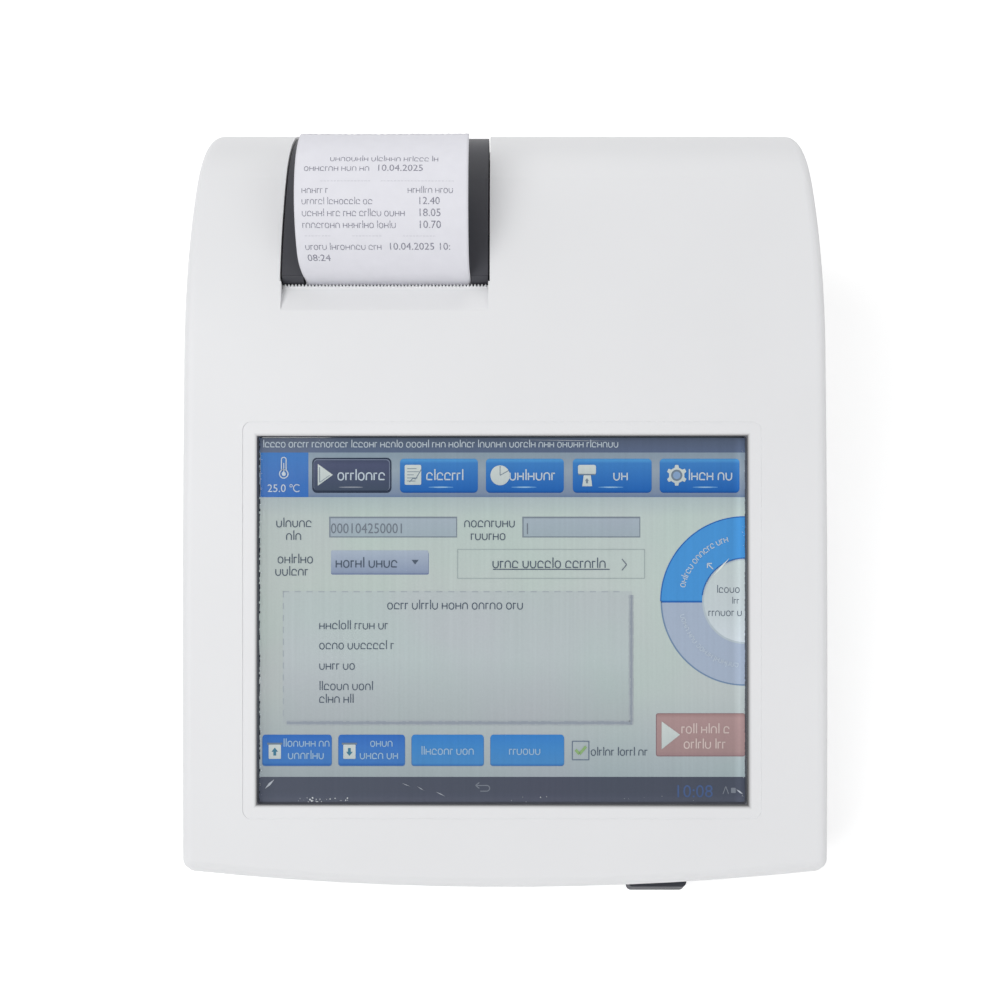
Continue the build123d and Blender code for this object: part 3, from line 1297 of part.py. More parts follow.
def tray_motor_pinion():
    z = (GEAR_LOW_Z, GEAR_HIGH_Z)
    phase = pi / 2 + pi / TRAY_PINION_TEETH + rack_pinion_lag()
    bore = TRAY_MOTOR_SHAFT_R / 2
    pinion = gear_upright(MODULE, TRAY_PINION_TEETH, RACK_PINION_X, TRAY_PINION_Y, z, phase, bore)
    shaft_low = BASE_TOP_Z + TRAY_MOTOR_LENGTH - MOTOR_SHAFT_DEEP
    return pinion + rod_z(TRAY_MOTOR_SHAFT_R, RACK_PINION_X, TRAY_PINION_Y, (shaft_low, GEAR_HIGH_Z))


def rack_pinion_lag():
    step = 2 * pi / RACK_PINION_TEETH
    return -((-pi / 2 - pi) % step) * RACK_PINION_TEETH / TRAY_PINION_TEETH


def position_sensors():
    sensors = []
    x = (BASE_X[0] + BASE_WALL_T, BASE_X[0] + BASE_WALL_T + SENSOR_X)
    for y in (SENSOR_HOME_Y, SENSOR_HOME_Y - TRAY_TRAVEL):
        body = block(x, about(y, SENSOR_L), about(FLAG_Z, SENSOR_H))
        slot_x = (x[1] - SENSOR_SLOT_DEEP, x[1] + 1)
        sensors.append(body - block(slot_x, about(y, 2 * SENSOR_L), about(FLAG_Z, SENSOR_SLOT_H)))
    return sensors


def tray_bezel():
    low, high = BEZEL_Z
    face = polygon(
        (case_front_y(low, -BEZEL_PROUD), low),
        (case_front_y(low, BEZEL_DEEP), low),
        (case_front_y(high, BEZEL_DEEP), high),
        (case_front_y(high, -BEZEL_PROUD), high),
    )
    ring = side_prism(face, about(TRAY_X, BEZEL_W))
    hole_z = (low + BEZEL_RIM, high - BEZEL_RIM)
    ring -= block(about(TRAY_X, BEZEL_W - 2 * BEZEL_RIM), (-BODY_D, 0), hole_z)
    return ring & case_block(-BEZEL_PROUD, FOOT_H)


# Optics

def optics_housing():
    z = (COVER_TOP_Z, COVER_TOP_Z + OPTICS_H)
    body = block(about(TRAY_X, OPTICS_W), (OPTICS_FRONT_Y, OPTICS_REAR_Y), z)
    uprights = body.edges().filter_by(Axis.Z)
    body = fillet(uprights, EDGE_R)
    body -= rod_z(CHANNEL_R, TRAY_X, LENS_Y, (z[0] + LENS_SEAT_T, z[1] + 1))
    body -= rod_z(LENS_R - LENS_SEAT_T, TRAY_X, LENS_Y, (z[0] - 1, z[1]))
    return body - rod_y(LED_R + FIT, TRAY_X, (LENS_Y, OPTICS_REAR_Y + 1), z[0] + BEAM_UP)


def objective_lens():
    low = COVER_TOP_Z + LENS_SEAT_T
    disc = rod_z(CHANNEL_R - FIT, TRAY_X, LENS_Y, (low, low + LENS_T))
    dome = Pos(TRAY_X, LENS_Y, low + LENS_T - 2 * LENS_R) * Sphere(2 * LENS_R)
    return disc & dome


def dichroic_mirror():
    place = Pos(TRAY_X, LENS_Y, COVER_TOP_Z + BEAM_UP) * Rot(45, 0, 0)
    return place * Box(MIRROR_W, MIRROR_W - MIRROR_T, MIRROR_T)


def emission_filter():
    high = COVER_TOP_Z + OPTICS_H - DETECTOR_CHIP_H - 2 * FIT
    return rod_z(FILTER_R, TRAY_X, LENS_Y, (high - FILTER_T, high))


def uv_led():
    z = COVER_TOP_Z + BEAM_UP
    lamp = rod_y(LED_R, TRAY_X, (OPTICS_REAR_Y - LED_LENGTH, OPTICS_REAR_Y + 0.5), z)
    return lamp + rod_y(LED_FLANGE_R, TRAY_X, (OPTICS_REAR_Y, OPTICS_REAR_Y + LED_FLANGE_T), z)


def detector_board():
    low = COVER_TOP_Z + OPTICS_H
    y = (OPTICS_FRONT_Y + EDGE_R, OPTICS_REAR_Y - EDGE_R)
    board = block(about(TRAY_X, OPTICS_W - 2), y, (low, low + DETECTOR_T))
    chip_z = (low - DETECTOR_CHIP_H, low + DETECTOR_T / 2)
    chip = block(about(TRAY_X, DETECTOR_CHIP), about(LENS_Y, DETECTOR_CHIP), chip_z)
    return board + chip


# Electronics

def board_holes():
    inset = BOARD_HOLE_INSET
    xs = (BOARD_X[0] + inset, BOARD_X[1] - inset)
    ys = (BOARD_FRONT_Y + inset, BOARD_REAR_Y - BOARD_REAR_HOLE_INSET)
    return [(x, y) for x in xs for y in ys]


def main_board():
    board = block(BOARD_X, (BOARD_FRONT_Y, BOARD_REAR_Y), (BOARD_LOW_Z, BOARD_TOP_Z))
    for x, y in board_holes():
        board -= rod_z(BOARD_SCREW_R + FIT, x, y, (BOARD_LOW_Z - 1, BOARD_TOP_Z + 1))
    return board


def board_standoffs():
    posts = []
    for x, y in board_holes():
        post = rod_z(STANDOFF_R, x, y, (FLOOR_TOP, BOARD_LOW_Z))
        posts.append(post - rod_z(BOARD_SCREW_R + FIT, x, y, (FLOOR_TOP + 1, BOARD_LOW_Z + 1)))
    return posts


def board_screws():
    screws = []
    for x, y in board_holes():
        head = rod_z(BOARD_SCREW_HEAD_R, x, y, (BOARD_TOP_Z, BOARD_TOP_Z + BOARD_SCREW_HEAD_H))
        shank = rod_z(BOARD_SCREW_R, x, y, (FLOOR_TOP + BOARD_SCREW_SHORT, BOARD_TOP_Z + 1))
        screws.append(head + shank)
    return screws


def board_components():
    top = BOARD_TOP_Z
    middle_x = sum(BOARD_X) / 2
    middle_y = (BOARD_FRONT_Y + BOARD_REAR_Y) / 2
    square = (about(middle_x, PROCESSOR_SIZE), about(middle_y, PROCESSOR_SIZE))
    chips = [block(*square, (top, top + PROCESSOR_H))]
    for side in (-1, 1):
        x = middle_x + side * (PROCESSOR_SIZE + MEMORY_W)
        chips.append(block(about(x, MEMORY_W), about(middle_y, MEMORY_L), (top, top + MEMORY_H)))
    display_x = about(DISPLAY_RIBBON_X, DISPLAY_RIBBON_W + 2 * HEADER_PAST_CABLE)
    display_y = about(BOARD_FRONT_Y + HEADER_FROM_EDGE, HEADER_H)
    chips.append(block(display_x, display_y, (top, top + HEADER_H)))
    printer_x = about(PRINTER_RIBBON_X, PRINTER_RIBBON_W + 2 * HEADER_PAST_CABLE)
    printer_y = about(BOARD_FRONT_Y + 3 * HEADER_FROM_EDGE, HEADER_H)
    chips.append(block(printer_x, printer_y, (top, top + HEADER_H)))
    return chips


def capacitors():
    cans = []
    for index in range(CAPACITOR_COUNT):
        x = BOARD_X[1] - BOARD_HOLE_INSET * 2 - index * CAPACITOR_PITCH
        y = BOARD_FRONT_Y + 3 * BOARD_HOLE_INSET
        can = rod_z(CAPACITOR_R, x, y, (BOARD_TOP_Z, BOARD_TOP_Z + CAPACITOR_H))
        cans.append(fillet(can.edges().sort_by(Axis.Z)[-1], CAPACITOR_EDGE_R))
    return cans


def coin_cell():
    x = BOARD_X[0] + COIN_FROM_LEFT
    y = BOARD_FRONT_Y + COIN_FROM_FRONT
    cell = rod_z(COIN_R, x, y, (BOARD_TOP_Z, BOARD_TOP_Z + COIN_H))
    return fillet(cell.edges().sort_by(Axis.Z)[-1], COIN_EDGE_R)


def usb_ports():
    ports = []
    rear = CASE_REAR_Y
    for x in USB_X:
        body = block(about(x, USB_W), (rear - USB_L, rear), (BOARD_TOP_Z, BOARD_TOP_Z + USB_H))
        for level in (1, 3):
            z = BOARD_TOP_Z + USB_H * level / 4
            body -= block(about(x, USB_HOLE_W), (rear - USB_HOLE_DEEP, rear + 1), about(z, USB_HOLE_H))
            tongue_z = (z, z + USB_TONGUE_T)
            tongue_x = about(x, USB_HOLE_W - 2 * USB_TONGUE_SIDE)
            body += block(tongue_x, (rear - USB_HOLE_DEEP - 1, rear - 1), tongue_z)
        ports.append(body)
    return ports


def network_port():
    rear = CASE_REAR_Y
    body_z = (BOARD_TOP_Z, BOARD_TOP_Z + NETWORK_H)
    body = block(about(NETWORK_X, NETWORK_W), (rear - NETWORK_L, rear), body_z)
    z = BOARD_TOP_Z + NETWORK_H / 2
    deep = (rear - NETWORK_HOLE_DEEP, rear + 1)
    body -= block(about(NETWORK_X, NETWORK_HOLE_W), deep, about(z, NETWORK_HOLE_H))
    latch_z = (z - NETWORK_HOLE_H / 2 - NETWORK_LATCH_H, z)
    return body - block(about(NETWORK_X, NETWORK_HOLE_W / 2), deep, latch_z)


def serial_port():
    rear = CASE_REAR_Y
    z = BOARD_TOP_Z + SERIAL_H / 2
    body_y = (rear - WALL - FIT - SERIAL_L, rear - WALL - FIT)
    body = block(about(SERIAL_X, SERIAL_W), body_y, (BOARD_TOP_Z, BOARD_TOP_Z + SERIAL_H))
    shell_y = (body_y[1] - 1, rear + SERIAL_SHELL_PROUD)
    hole_y = (body_y[1], rear + 2)
    body += extrude(Plane.XZ.offset(-shell_y[1]) * serial_shape(0, z), amount=shell_y[1] - shell_y[0])
    hole = serial_shape(SERIAL_SHELL_T, z)
    body -= extrude(Plane.XZ.offset(-hole_y[1]) * hole, amount=hole_y[1] - hole_y[0])
    for row, count in ((1, SERIAL_HIGH_COUNT), (-1, SERIAL_LOW_COUNT)):
        for index in range(count):
            x = SERIAL_X + (index - (count - 1) / 2) * SERIAL_PIN_PITCH
            pin_z = z + row * SERIAL_ROW_PITCH / 2
            body += rod_y(SERIAL_PIN_R, x, (body_y[1] - 1, body_y[1] + SERIAL_PIN_L), pin_z)
    return body


def serial_shape(inset, z):
    lean = SERIAL_SHELL_H * tan(radians(SERIAL_LEAN_DEG))
    top_x = SERIAL_SHELL_W / 2 - inset
    low_x = top_x - lean
    half_h = SERIAL_SHELL_H / 2 - inset
    return polygon(
        (SERIAL_X - top_x, z + half_h),
        (SERIAL_X - low_x, z - half_h),
        (SERIAL_X + low_x, z - half_h),
        (SERIAL_X + top_x, z + half_h),
    )


def power_inlet():
    rear = CASE_REAR_Y
    z = BOARD_TOP_Z + INLET_H / 2
    body_y = (rear - WALL - FIT - INLET_L, rear - WALL - FIT)
    body = block(about(INLET_X, INLET_W), body_y, (BOARD_TOP_Z, BOARD_TOP_Z + INLET_H))
    body += rod_y(INLET_BORE_R + INLET_BARREL_T, INLET_X, (body_y[1] - 1, rear), z)
    body -= rod_y(INLET_BORE_R, INLET_X, (rear - INLET_DEEP, rear + 1), z)
    return body + rod_y(INLET_PIN_R, INLET_X, (rear - INLET_DEEP - 1, rear - 1), z)


def power_switch_body():
    rear = CASE_REAR_Y
    fit_w = SWITCH_W - 2 * FIT
    fit_h = SWITCH_H - 2 * FIT
    body = block(about(SWITCH_X, fit_w), (rear - SWITCH_L, rear), about(SWITCH_Z, fit_h))
    rim_w = SWITCH_W + 2 * SWITCH_RIM
    rim_h = SWITCH_H + 2 * SWITCH_RIM
    body += block(about(SWITCH_X, rim_w), (rear, rear + SWITCH_RIM_T), about(SWITCH_Z, rim_h))
    pit_y = (rear - SWITCH_L + 2, rear + SWITCH_RIM_T + 1)
    pit_w = ROCKER_W + 2 * ROCKER_GAP + 2 * ROCKER_R * sin(radians(ROCKER_TILT_DEG))
    body -= block(about(SWITCH_X, pit_w), pit_y, about(SWITCH_Z, ROCKER_H + 2 * ROCKER_GAP))
    pin_z = about(SWITCH_Z, ROCKER_H + 2 * ROCKER_PIN_R)
    bore_z = (pin_z[0] - FIT, pin_z[1] + FIT)
    return body - rod_z(ROCKER_PIN_R + RUNNING_FIT, SWITCH_X, ROCKER_PIVOT_Y, bore_z)


def power_rocker():
    half = ROCKER_W / 2
    outline = polygon(
        (-half, 0),
        (0, -ROCKER_R / 2),
        (half, 0),
        (half, ROCKER_R - 1),
        (0, ROCKER_R - 2),
        (-half, ROCKER_R - 1),
    )
    turned = Pos(SWITCH_X, ROCKER_PIVOT_Y) * Rot(0, 0, -ROCKER_TILT_DEG) * outline
    low = SWITCH_Z - ROCKER_H / 2
    rocker = extrude(Plane.XY.offset(low) * turned, amount=ROCKER_H)
    pin_z = about(SWITCH_Z, ROCKER_H + 2 * ROCKER_PIN_R)
    return rocker + rod_z(ROCKER_PIN_R, SWITCH_X, ROCKER_PIVOT_Y, pin_z)


def id_chip_socket():
    low, high = CHIP_SOCKET_Z
    face = polygon(
        (case_front_y(low, -BEZEL_PROUD), low),
        (case_front_y(low, CHIP_SOCKET_L), low),
        (case_front_y(high, CHIP_SOCKET_L), high),
        (case_front_y(high, -BEZEL_PROUD), high),
    )
    body = side_prism(face, about(CHIP_SOCKET_X, CHIP_SOCKET_W - 2 * FIT))
    body &= case_block(-BEZEL_PROUD, FOOT_H)
    middle = (low + high) / 2
    slot_y = (case_front_y(high, 0) - CHIP_SLOT_DEEP, case_front_y(middle, CHIP_SLOT_DEEP))
    return body - block(about(CHIP_SOCKET_X, CHIP_SLOT_W), slot_y, about(middle, CHIP_SLOT_H))


def display_ribbon():
    frame = screen_frame()
    start = frame.location * Pos(0, DISPLAY_RIBBON_UP, -BRACKET_DEPTH - BRACKET_T / 2)
    below = frame.location * Pos(0, DISPLAY_RIBBON_UP, -2 * BRACKET_DEPTH)
    header_y = BOARD_FRONT_Y + HEADER_FROM_EDGE
    path = FilletPolyline(
        (start.position.Y, start.position.Z),
        (below.position.Y, below.position.Z),
        (header_y, below.position.Z / 2),
        (header_y, BOARD_TOP_Z + HEADER_H),
        radius=RIBBON_BEND_R,
    )
    return side_prism(trace(path, RIBBON_T), about(DISPLAY_RIBBON_X, DISPLAY_RIBBON_W))


def printer_ribbon():
    header_y = BOARD_FRONT_Y + 3 * HEADER_FROM_EDGE
    path = FilletPolyline(
        along_path(-HEAD_BOARD_LOW - RIBBON_GAP, RIBBON_OFFSET),
        along_path(-2 * HEAD_BOARD_LOW, RIBBON_OFFSET),
        (header_y, FRAME_LOW_Z),
        (header_y, BOARD_TOP_Z + HEADER_H),
        radius=RIBBON_BEND_R,
    )
    return side_prism(trace(path, RIBBON_T), about(PRINTER_RIBBON_X, PRINTER_RIBBON_W))


# Files

def every_piece():
    makers = [
        upper_cover, lower_case, case_screws, rubber_feet,
        display_gasket, touch_panel, lcd_module, lcd_bracket, lcd_screws,
        printer_lid, lid_hinge_pin, tear_bar, printer_frame, printer_screws,
        thermal_head, head_heat_sink, head_pivot_pin, head_springs,
        printer_motor, printer_motor_pinion, idler_gear, platen_gear,
        platen_roller, platen_shaft, platen_bushings,
        paper_roll, paper_core, paper_web, paper_strip,
        tray, tray_rack, guide_rods, transport_base, transport_cover,
        rack_pinion, tray_motor, tray_motor_pinion, position_sensors, tray_bezel,
        optics_housing, objective_lens, dichroic_mirror, emission_filter, uv_led, detector_board,
        main_board, board_standoffs, board_screws, board_components, capacitors, coin_cell,
        usb_ports, network_port, serial_port, power_inlet, power_switch_body, power_rocker,
        id_chip_socket, display_ribbon, printer_ribbon,
    ]
    return {maker.__name__: maker() for maker in makers}


def write_pieces():
    os.makedirs("parts", exist_ok=True)
    for name, shape in every_piece().items():
        solid = Compound(children=shape) if isinstance(shape, list) else shape
        export_step(solid, f"parts/{name}.step")


write_pieces()
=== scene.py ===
import json
import random
from math import atan, cos, hypot, pi, radians, sin

import bmesh
import bpy
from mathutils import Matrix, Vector


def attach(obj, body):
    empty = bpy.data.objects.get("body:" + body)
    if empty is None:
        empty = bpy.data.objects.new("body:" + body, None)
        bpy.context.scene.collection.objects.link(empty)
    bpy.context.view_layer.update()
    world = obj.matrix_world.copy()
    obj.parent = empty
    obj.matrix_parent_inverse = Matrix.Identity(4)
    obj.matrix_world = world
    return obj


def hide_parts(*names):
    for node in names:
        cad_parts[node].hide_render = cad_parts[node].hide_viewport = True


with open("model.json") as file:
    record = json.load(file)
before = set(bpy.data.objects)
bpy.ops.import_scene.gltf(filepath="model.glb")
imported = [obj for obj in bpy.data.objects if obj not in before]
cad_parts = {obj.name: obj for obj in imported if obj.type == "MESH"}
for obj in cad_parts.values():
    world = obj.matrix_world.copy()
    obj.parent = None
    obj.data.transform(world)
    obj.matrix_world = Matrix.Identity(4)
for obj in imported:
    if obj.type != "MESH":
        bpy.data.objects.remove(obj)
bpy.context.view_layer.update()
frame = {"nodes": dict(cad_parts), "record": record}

# Sizes in millimetres, in the row frame, as in the part's source
MM = 0.001
BODY_D = 263.0
SLOPE = radians(25.994)
CHIN_Z = 48.0
SCREEN_X = -1.0
SCREEN_UP = 87.57
WINDOW_UP = 88.0
WINDOW_W = 163.0
WINDOW_H = 122.5
PANEL_DEPTH = 3.3
DISPLAY_W = 162.0
DISPLAY_H = 122.2
DISPLAY_PX_W = 1024
DISPLAY_PX_H = 768
LAYER_T = 0.03
PRINTER_X = -40.2
PAPER_HALF_W = 28.25
PAPER_T = 0.12
NIP = (50.9, 122.0)
PATH_LEAN = radians(4.0)
PATH_OFFSET = 0.45
CURL_START = 11.5
CURL_R = 28.0
CURL_SWEEP = radians(121.0)

# The shaded edge of the window, painted shade on the floor of the shallow recess round it: how far out
# it reaches and where its shade begins, at the low left, low right, high right and high left corner
EDGE_LIFT = -0.23
EDGE_OUT = (1.2, 1.7, 1.2, 1.1)
EDGE_FROM = (0.15, 0.0, 0.15, 0.38)
EDGE_SHARES = ((0.0, 0.08), (0.2, 0.13), (0.38, 0.37), (0.5, 0.6), (0.7, 0.85), (1.0, 1.0))
SLEEVE_GAP = 0.04
PANEL_GAP = 0.01
CORNER_R = 1.0
CORNER_STEPS = 6

# Painted light that the display's colour gains beside the window's side walls, for the shade they
# cast: the side, how far from the wall it starts and is full, and how much it is
WALL_LIFTS = ((-1, 3.0, 0.3, 2.1), (1, 5.0, 1.9, 1.42))

# How bright the studio light shows white, what every surface mirrors of it, the darkest albedo, and
# how an 8-bit colour is bent
STUDIO = 0.9
SHEEN = 0.012
DARKEST = 0.002
GAMMA = 2.2


# Materials

class Term:
    """A value in a node tree. Arithmetic on it adds Math nodes."""

    def __init__(self, tree, socket):
        self.tree = tree
        self.socket = socket

    def sum(self, operation, left, right):
        return self.tree.add("ShaderNodeMath", {"operation": operation}, {0: left, 1: right})

    def __add__(self, other):
        return self.sum("ADD", self, other)

    def __radd__(self, other):
        return self.sum("ADD", other, self)

    def __sub__(self, other):
        return self.sum("SUBTRACT", self, other)

    def __rsub__(self, other):
        return self.sum("SUBTRACT", other, self)

    def __mul__(self, other):
        return self.sum("MULTIPLY", self, other)

    def __rmul__(self, other):
        return self.sum("MULTIPLY", other, self)

    def above(self, limit):
        return self.sum("GREATER_THAN", self, limit)

    def beside(self, output):
        """Another output of the same node."""
        return Term(self.tree, self.socket.node.outputs[output])


class Nodes:
    """Adds nodes to a tree: the settings first, then the values or links of the sockets."""

    def __init__(self, tree):
        self.tree = tree
        self.nodes = tree.nodes

    def feed(self, socket, value):
        value = getattr(value, "socket", value)
        if isinstance(value, bpy.types.NodeSocket):
            self.tree.links.new(value, socket)
        elif socket.type == "RGBA" and len(value) == 3:
            socket.default_value = (*value, 1.0)
        else:
            socket.default_value = value

    def add(self, kind, settings=None, inputs=None, output=0):
        node = self.nodes.new(kind)
        for key, value in (settings or {}).items():
            if key == "stops":
                ramp = node.color_ramp
                while len(ramp.elements) < len(value):
                    ramp.elements.new(0.5)
                for element, (place, shade) in zip(ramp.elements, value):
                    element.position = place
                    element.color = (*shade, 1.0)
            else:
                setattr(node, key, value)
        for key, value in (inputs or {}).items():
            self.feed(node.inputs[key], value)
        return Term(self, node.outputs[output])

    def ray(self, kind):
        """1 for rays of this kind."""
        return self.add("ShaderNodeLightPath", output="Is %s Ray" % kind)


class Finish(Nodes):
    """One material on a Principled shader."""

    def __init__(self, name, **constants):
        self.material = bpy.data.materials.new(name)
        self.material.use_nodes = True
        super().__init__(self.material.node_tree)
        self.shader = self.nodes["Principled BSDF"]
        for socket, value in constants.items():
            self.put(socket.replace("_", " "), value)

    def put(self, socket, value):
        self.feed(self.shader.inputs[socket], value)
        return self

    def place(self, stretch=None):
        """Object coordinates, stretched if asked."""
        spot = self.add("ShaderNodeTexCoord", output=3)
        return self.add("ShaderNodeMapping", None, {"Vector": spot, "Scale": stretch}) if stretch else spot

    def noise(self, scale, detail=2.0, where=None):
        inputs = {"Vector": where or self.place(), "Scale": scale, "Detail": detail}
        return self.add("ShaderNodeTexNoise", None, inputs)

    def rise(self, value, start, end):
        """0 up to the start, 1 from the end on."""
        inputs = {"Value": value, "From Min": start, "From Max": end}
        return self.add("ShaderNodeMapRange", {"clamp": True}, inputs)

    def mix(self, factor, low, high, kind="MIX"):
        settings = {"data_type": "RGBA", "blend_type": kind}
        return self.add("ShaderNodeMix", settings, {0: factor, 6: low, 7: high}, output=2)

    def vary(self, mask, shade, low, high):
        """The shade, low times as bright where the mask is 0 and high times where it is 1."""
        return self.put("Base Color", self.mix(mask, scaled(shade, low), scaled(shade, high)))

    def bump(self, height, depth_mm):
        inputs = {"Height": height, "Strength": 1.0, "Distance": depth_mm * MM}
        return self.put("Normal", self.add("ShaderNodeBump", None, inputs))

    def along(self, axis):
        """The mesh's own U (0) or V (1), which runs 0 to 1 across each drawn item."""
        uv = self.add("ShaderNodeTexCoord", output=2)
        return self.add("ShaderNodeSeparateXYZ", None, {0: uv}, output=axis)


def scaled(shade, factor):
    return tuple(min(1.0, channel * factor) for channel in shade)


def moulded(name, shade, roughness, grain_mm=0.35, depth=0.012):
    """Injection-moulded plastic with a spark-eroded grain."""
    finish = Finish(name, Specular_IOR_Level=0.4)
    grain = finish.noise(1 / (grain_mm * MM), 3.0)
    finish.vary(finish.noise(18.0, 3.0), shade, 0.975, 1.025)
    finish.put("Roughness", roughness + (grain - 0.5) * 0.12)
    return finish.bump(grain, depth).material


def rubber(name, shade):
    """Rubber with a little dust in its pores."""
    finish = Finish(name, Specular_IOR_Level=0.3)
    dust = finish.noise(140.0, 5.0)
    finish.vary(dust, shade, 1.0, 1.7)
    finish.put("Roughness", 0.72 + (dust - 0.5) * 0.2)
    return finish.bump(finish.noise(2200.0, 4.0), 0.03).material


def metal(name, shade, roughness):
    """Drawn or rolled metal: fine lines along X."""
    finish = Finish(name, Metallic=1.0)
    lines = finish.noise(1.0, 3.0, finish.place((40.0, 900.0, 900.0)))
    finish.vary(finish.noise(60.0, 3.0), shade, 0.9, 1.0)
    finish.put("Roughness", roughness + (lines - 0.5) * 0.22)
    return finish.bump(lines, 0.006).material


def paper(name, shade):
    """Thermal paper: short fibres and a faint mottle."""
    finish = Finish(name, Specular_IOR_Level=0.25)
    fibre = finish.noise(1.0, 5.0, finish.place((1400.0, 2600.0, 2600.0)))
    finish.vary(finish.noise(260.0, 4.0), shade, 0.965, 1.03)
    finish.put("Roughness", 0.55 + (fibre - 0.5) * 0.15)
    return finish.bump(fibre, 0.01).material


def thermal_ink(name, shade):
    """Print from a dot head, a little broken up."""
    finish = Finish(name, Roughness=0.6, Specular_IOR_Level=0.2)
    dots = finish.noise(5200.0, 1.0)
    return finish.put("Base Color", finish.mix(dots.above(0.62), shade, PAPER_SHADE)).material


def glass(name, shade, alpha):
    finish = Finish(name, Roughness=0.06, IOR=1.5, Alpha=alpha, Coat_Weight=0.6)
    return finish.vary(finish.noise(90.0), shade, 0.9, 1.0).material


def circuit_board(name, shade):
    """Solder mask with faint tracks under it."""
    finish = Finish(name, Roughness=0.35, Coat_Weight=0.3, Coat_Roughness=0.2)
    settings = {"distance": "CHEBYCHEV", "feature": "DISTANCE_TO_EDGE"}
    tracks = finish.add("ShaderNodeTexVoronoi", settings, {"Vector": finish.place(), "Scale": 260.0})
    line = tracks.above(0.09)
    return finish.vary(line, shade, 1.5, 1.0).bump(line, 0.02).material


def lit(shade):
    """The albedo that shows as this 8-bit colour under the studio light."""
    return tuple(max((channel / 255) ** GAMMA - SHEEN, DARKEST) / STUDIO for channel in shade)


def painted_wall_light(finish, place, shade):
    """Painted light: the picture's colour is made brighter beside the side walls, for the light they take."""
    across = finish.add("ShaderNodeSeparateXYZ", None, {0: place})
    for side, start, full, gain in WALL_LIFTS:
        foot = SCREEN_X + side * (WINDOW_W / 2 - SLEEVE_GAP)
        near = finish.rise(across, (foot - side * start) * MM, (foot - side * full) * MM)
        lift = finish.mix(near * near, (1, 1, 1), (gain, gain, gain))
        shade = finish.mix(1.0, shade, lift, "MULTIPLY")
    return shade


def display_film(name, stops, blotch=0.0, tint=None):
    """A lit area of the display, of one shade or of stops that run up each item, under the fine columns
    of the panel. The tint, if any, runs from its first shade on the left to its second on the right."""
    finish = Finish(name, Roughness=0.38, Specular_IOR_Level=0.12, Coat_Weight=0.1, Coat_Roughness=0.06)
    if not isinstance(stops, list):
        stops = [(0.0, stops), (1.0, stops)]
    stops = [(height, lit(shade)) for height, shade in stops]
    shade = finish.add("ShaderNodeValToRGB", {"stops": stops}, {0: finish.along(1)})
    place = finish.place()
    streak = finish.noise(1.0, 3.0, finish.place((950.0, 14.0, 14.0)))
    pixels = finish.noise(1500.0, 2.0, place)
    grain = finish.mix(streak * 0.6 + pixels * 0.4, (0.86, 0.865, 0.87), (1.1, 1.1, 1.1))
    shade = finish.mix(0.85, shade, grain, "MULTIPLY")
    if blotch:
        cloud = finish.mix(finish.noise(24.0, 3.0, place), (0.94, 1.07, 1.0), (1.04, 0.97, 1.05))
        shade = finish.mix(blotch, shade, cloud, "MULTIPLY")
    if tint:
        shade = finish.mix(1.0, shade, finish.mix(finish.along(0), *tint), "MULTIPLY")
    return finish.put("Base Color", painted_wall_light(finish, place, shade)).material


WHITE = (0.80, 0.805, 0.82)
CHARCOAL = (0.050, 0.051, 0.062)
SLATE = (0.046, 0.049, 0.062)
PAPER_SHADE = (0.79, 0.79, 0.845)


def node_finishes():
    """A finish for each material slot of the record."""
    nickel = (0.60, 0.60, 0.61)
    return {
        "case_plastic": moulded("white_casing", WHITE, 0.46),
        "dark_plastic": moulded("charcoal_plastic", CHARCOAL, 0.5),
        "tray_plastic": moulded("slate_tray", SLATE, 0.55, 0.3),
        "frame_plastic": moulded("printer_frame_plastic", (0.03, 0.03, 0.034), 0.55, 0.5),
        "gear_plastic": moulded("acetal_gear", (0.78, 0.76, 0.70), 0.38, 0.8, 0.004),
        "rubber": rubber("black_rubber", (0.022, 0.022, 0.023)),
        "screen": glass("touch_glass", (0.02, 0.03, 0.045), 1.0),
        "display": metal("display_back", (0.50, 0.51, 0.53), 0.42),
        "steel": metal("bright_steel", nickel, 0.30),
        "aluminium": metal("drawn_aluminium", (0.68, 0.69, 0.70), 0.34),
        "ceramic": moulded("head_ceramic", (0.72, 0.71, 0.67), 0.25, 0.6, 0.003),
        "brass": metal("turned_brass", (0.62, 0.45, 0.17), 0.28),
        "paper": paper("roll_paper", PAPER_SHADE),
        "cardboard": paper("core_board", (0.30, 0.20, 0.12)),
        "circuit_board": circuit_board("green_board", (0.012, 0.10, 0.045)),
        "ribbon": moulded("flat_cable", (0.62, 0.63, 0.64), 0.4, 1.2, 0.01),
        "optical_glass": glass("lens_glass", (0.85, 0.92, 0.95), 0.35),
        "filter_glass": glass("filter_glass_red", (0.35, 0.03, 0.02), 0.6),
        "mirror": metal("mirror_coating", (0.80, 0.80, 0.84), 0.08),
        "rocker_plastic": moulded("rocker_black", (0.012, 0.012, 0.013), 0.28, 0.5, 0.003),
    }


def dress_nodes(finishes):
    """Each node gets its slot's finish, and the tear bar a brighter white."""
    tear_bar_white = moulded("tear_bar_white", (0.86, 0.87, 0.885), 0.4)
    for row in frame["record"]["subparts"]:
        materials = frame["nodes"][row["node"]].data.materials
        materials.clear()
        materials.append(tear_bar_white if row["node"] == "tear_bar" else finishes[row["material_slot"]])


# Pieces

def add_object(name, data):
    shape = bpy.data.objects.new(name, data)
    bpy.context.scene.collection.objects.link(shape)
    return shape


def add_piece(name, mesh, finish, slot, body):
    mesh.materials.clear()
    mesh.materials.append(finish)
    shape = add_object(name, mesh)
    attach(shape, body)
    return shape


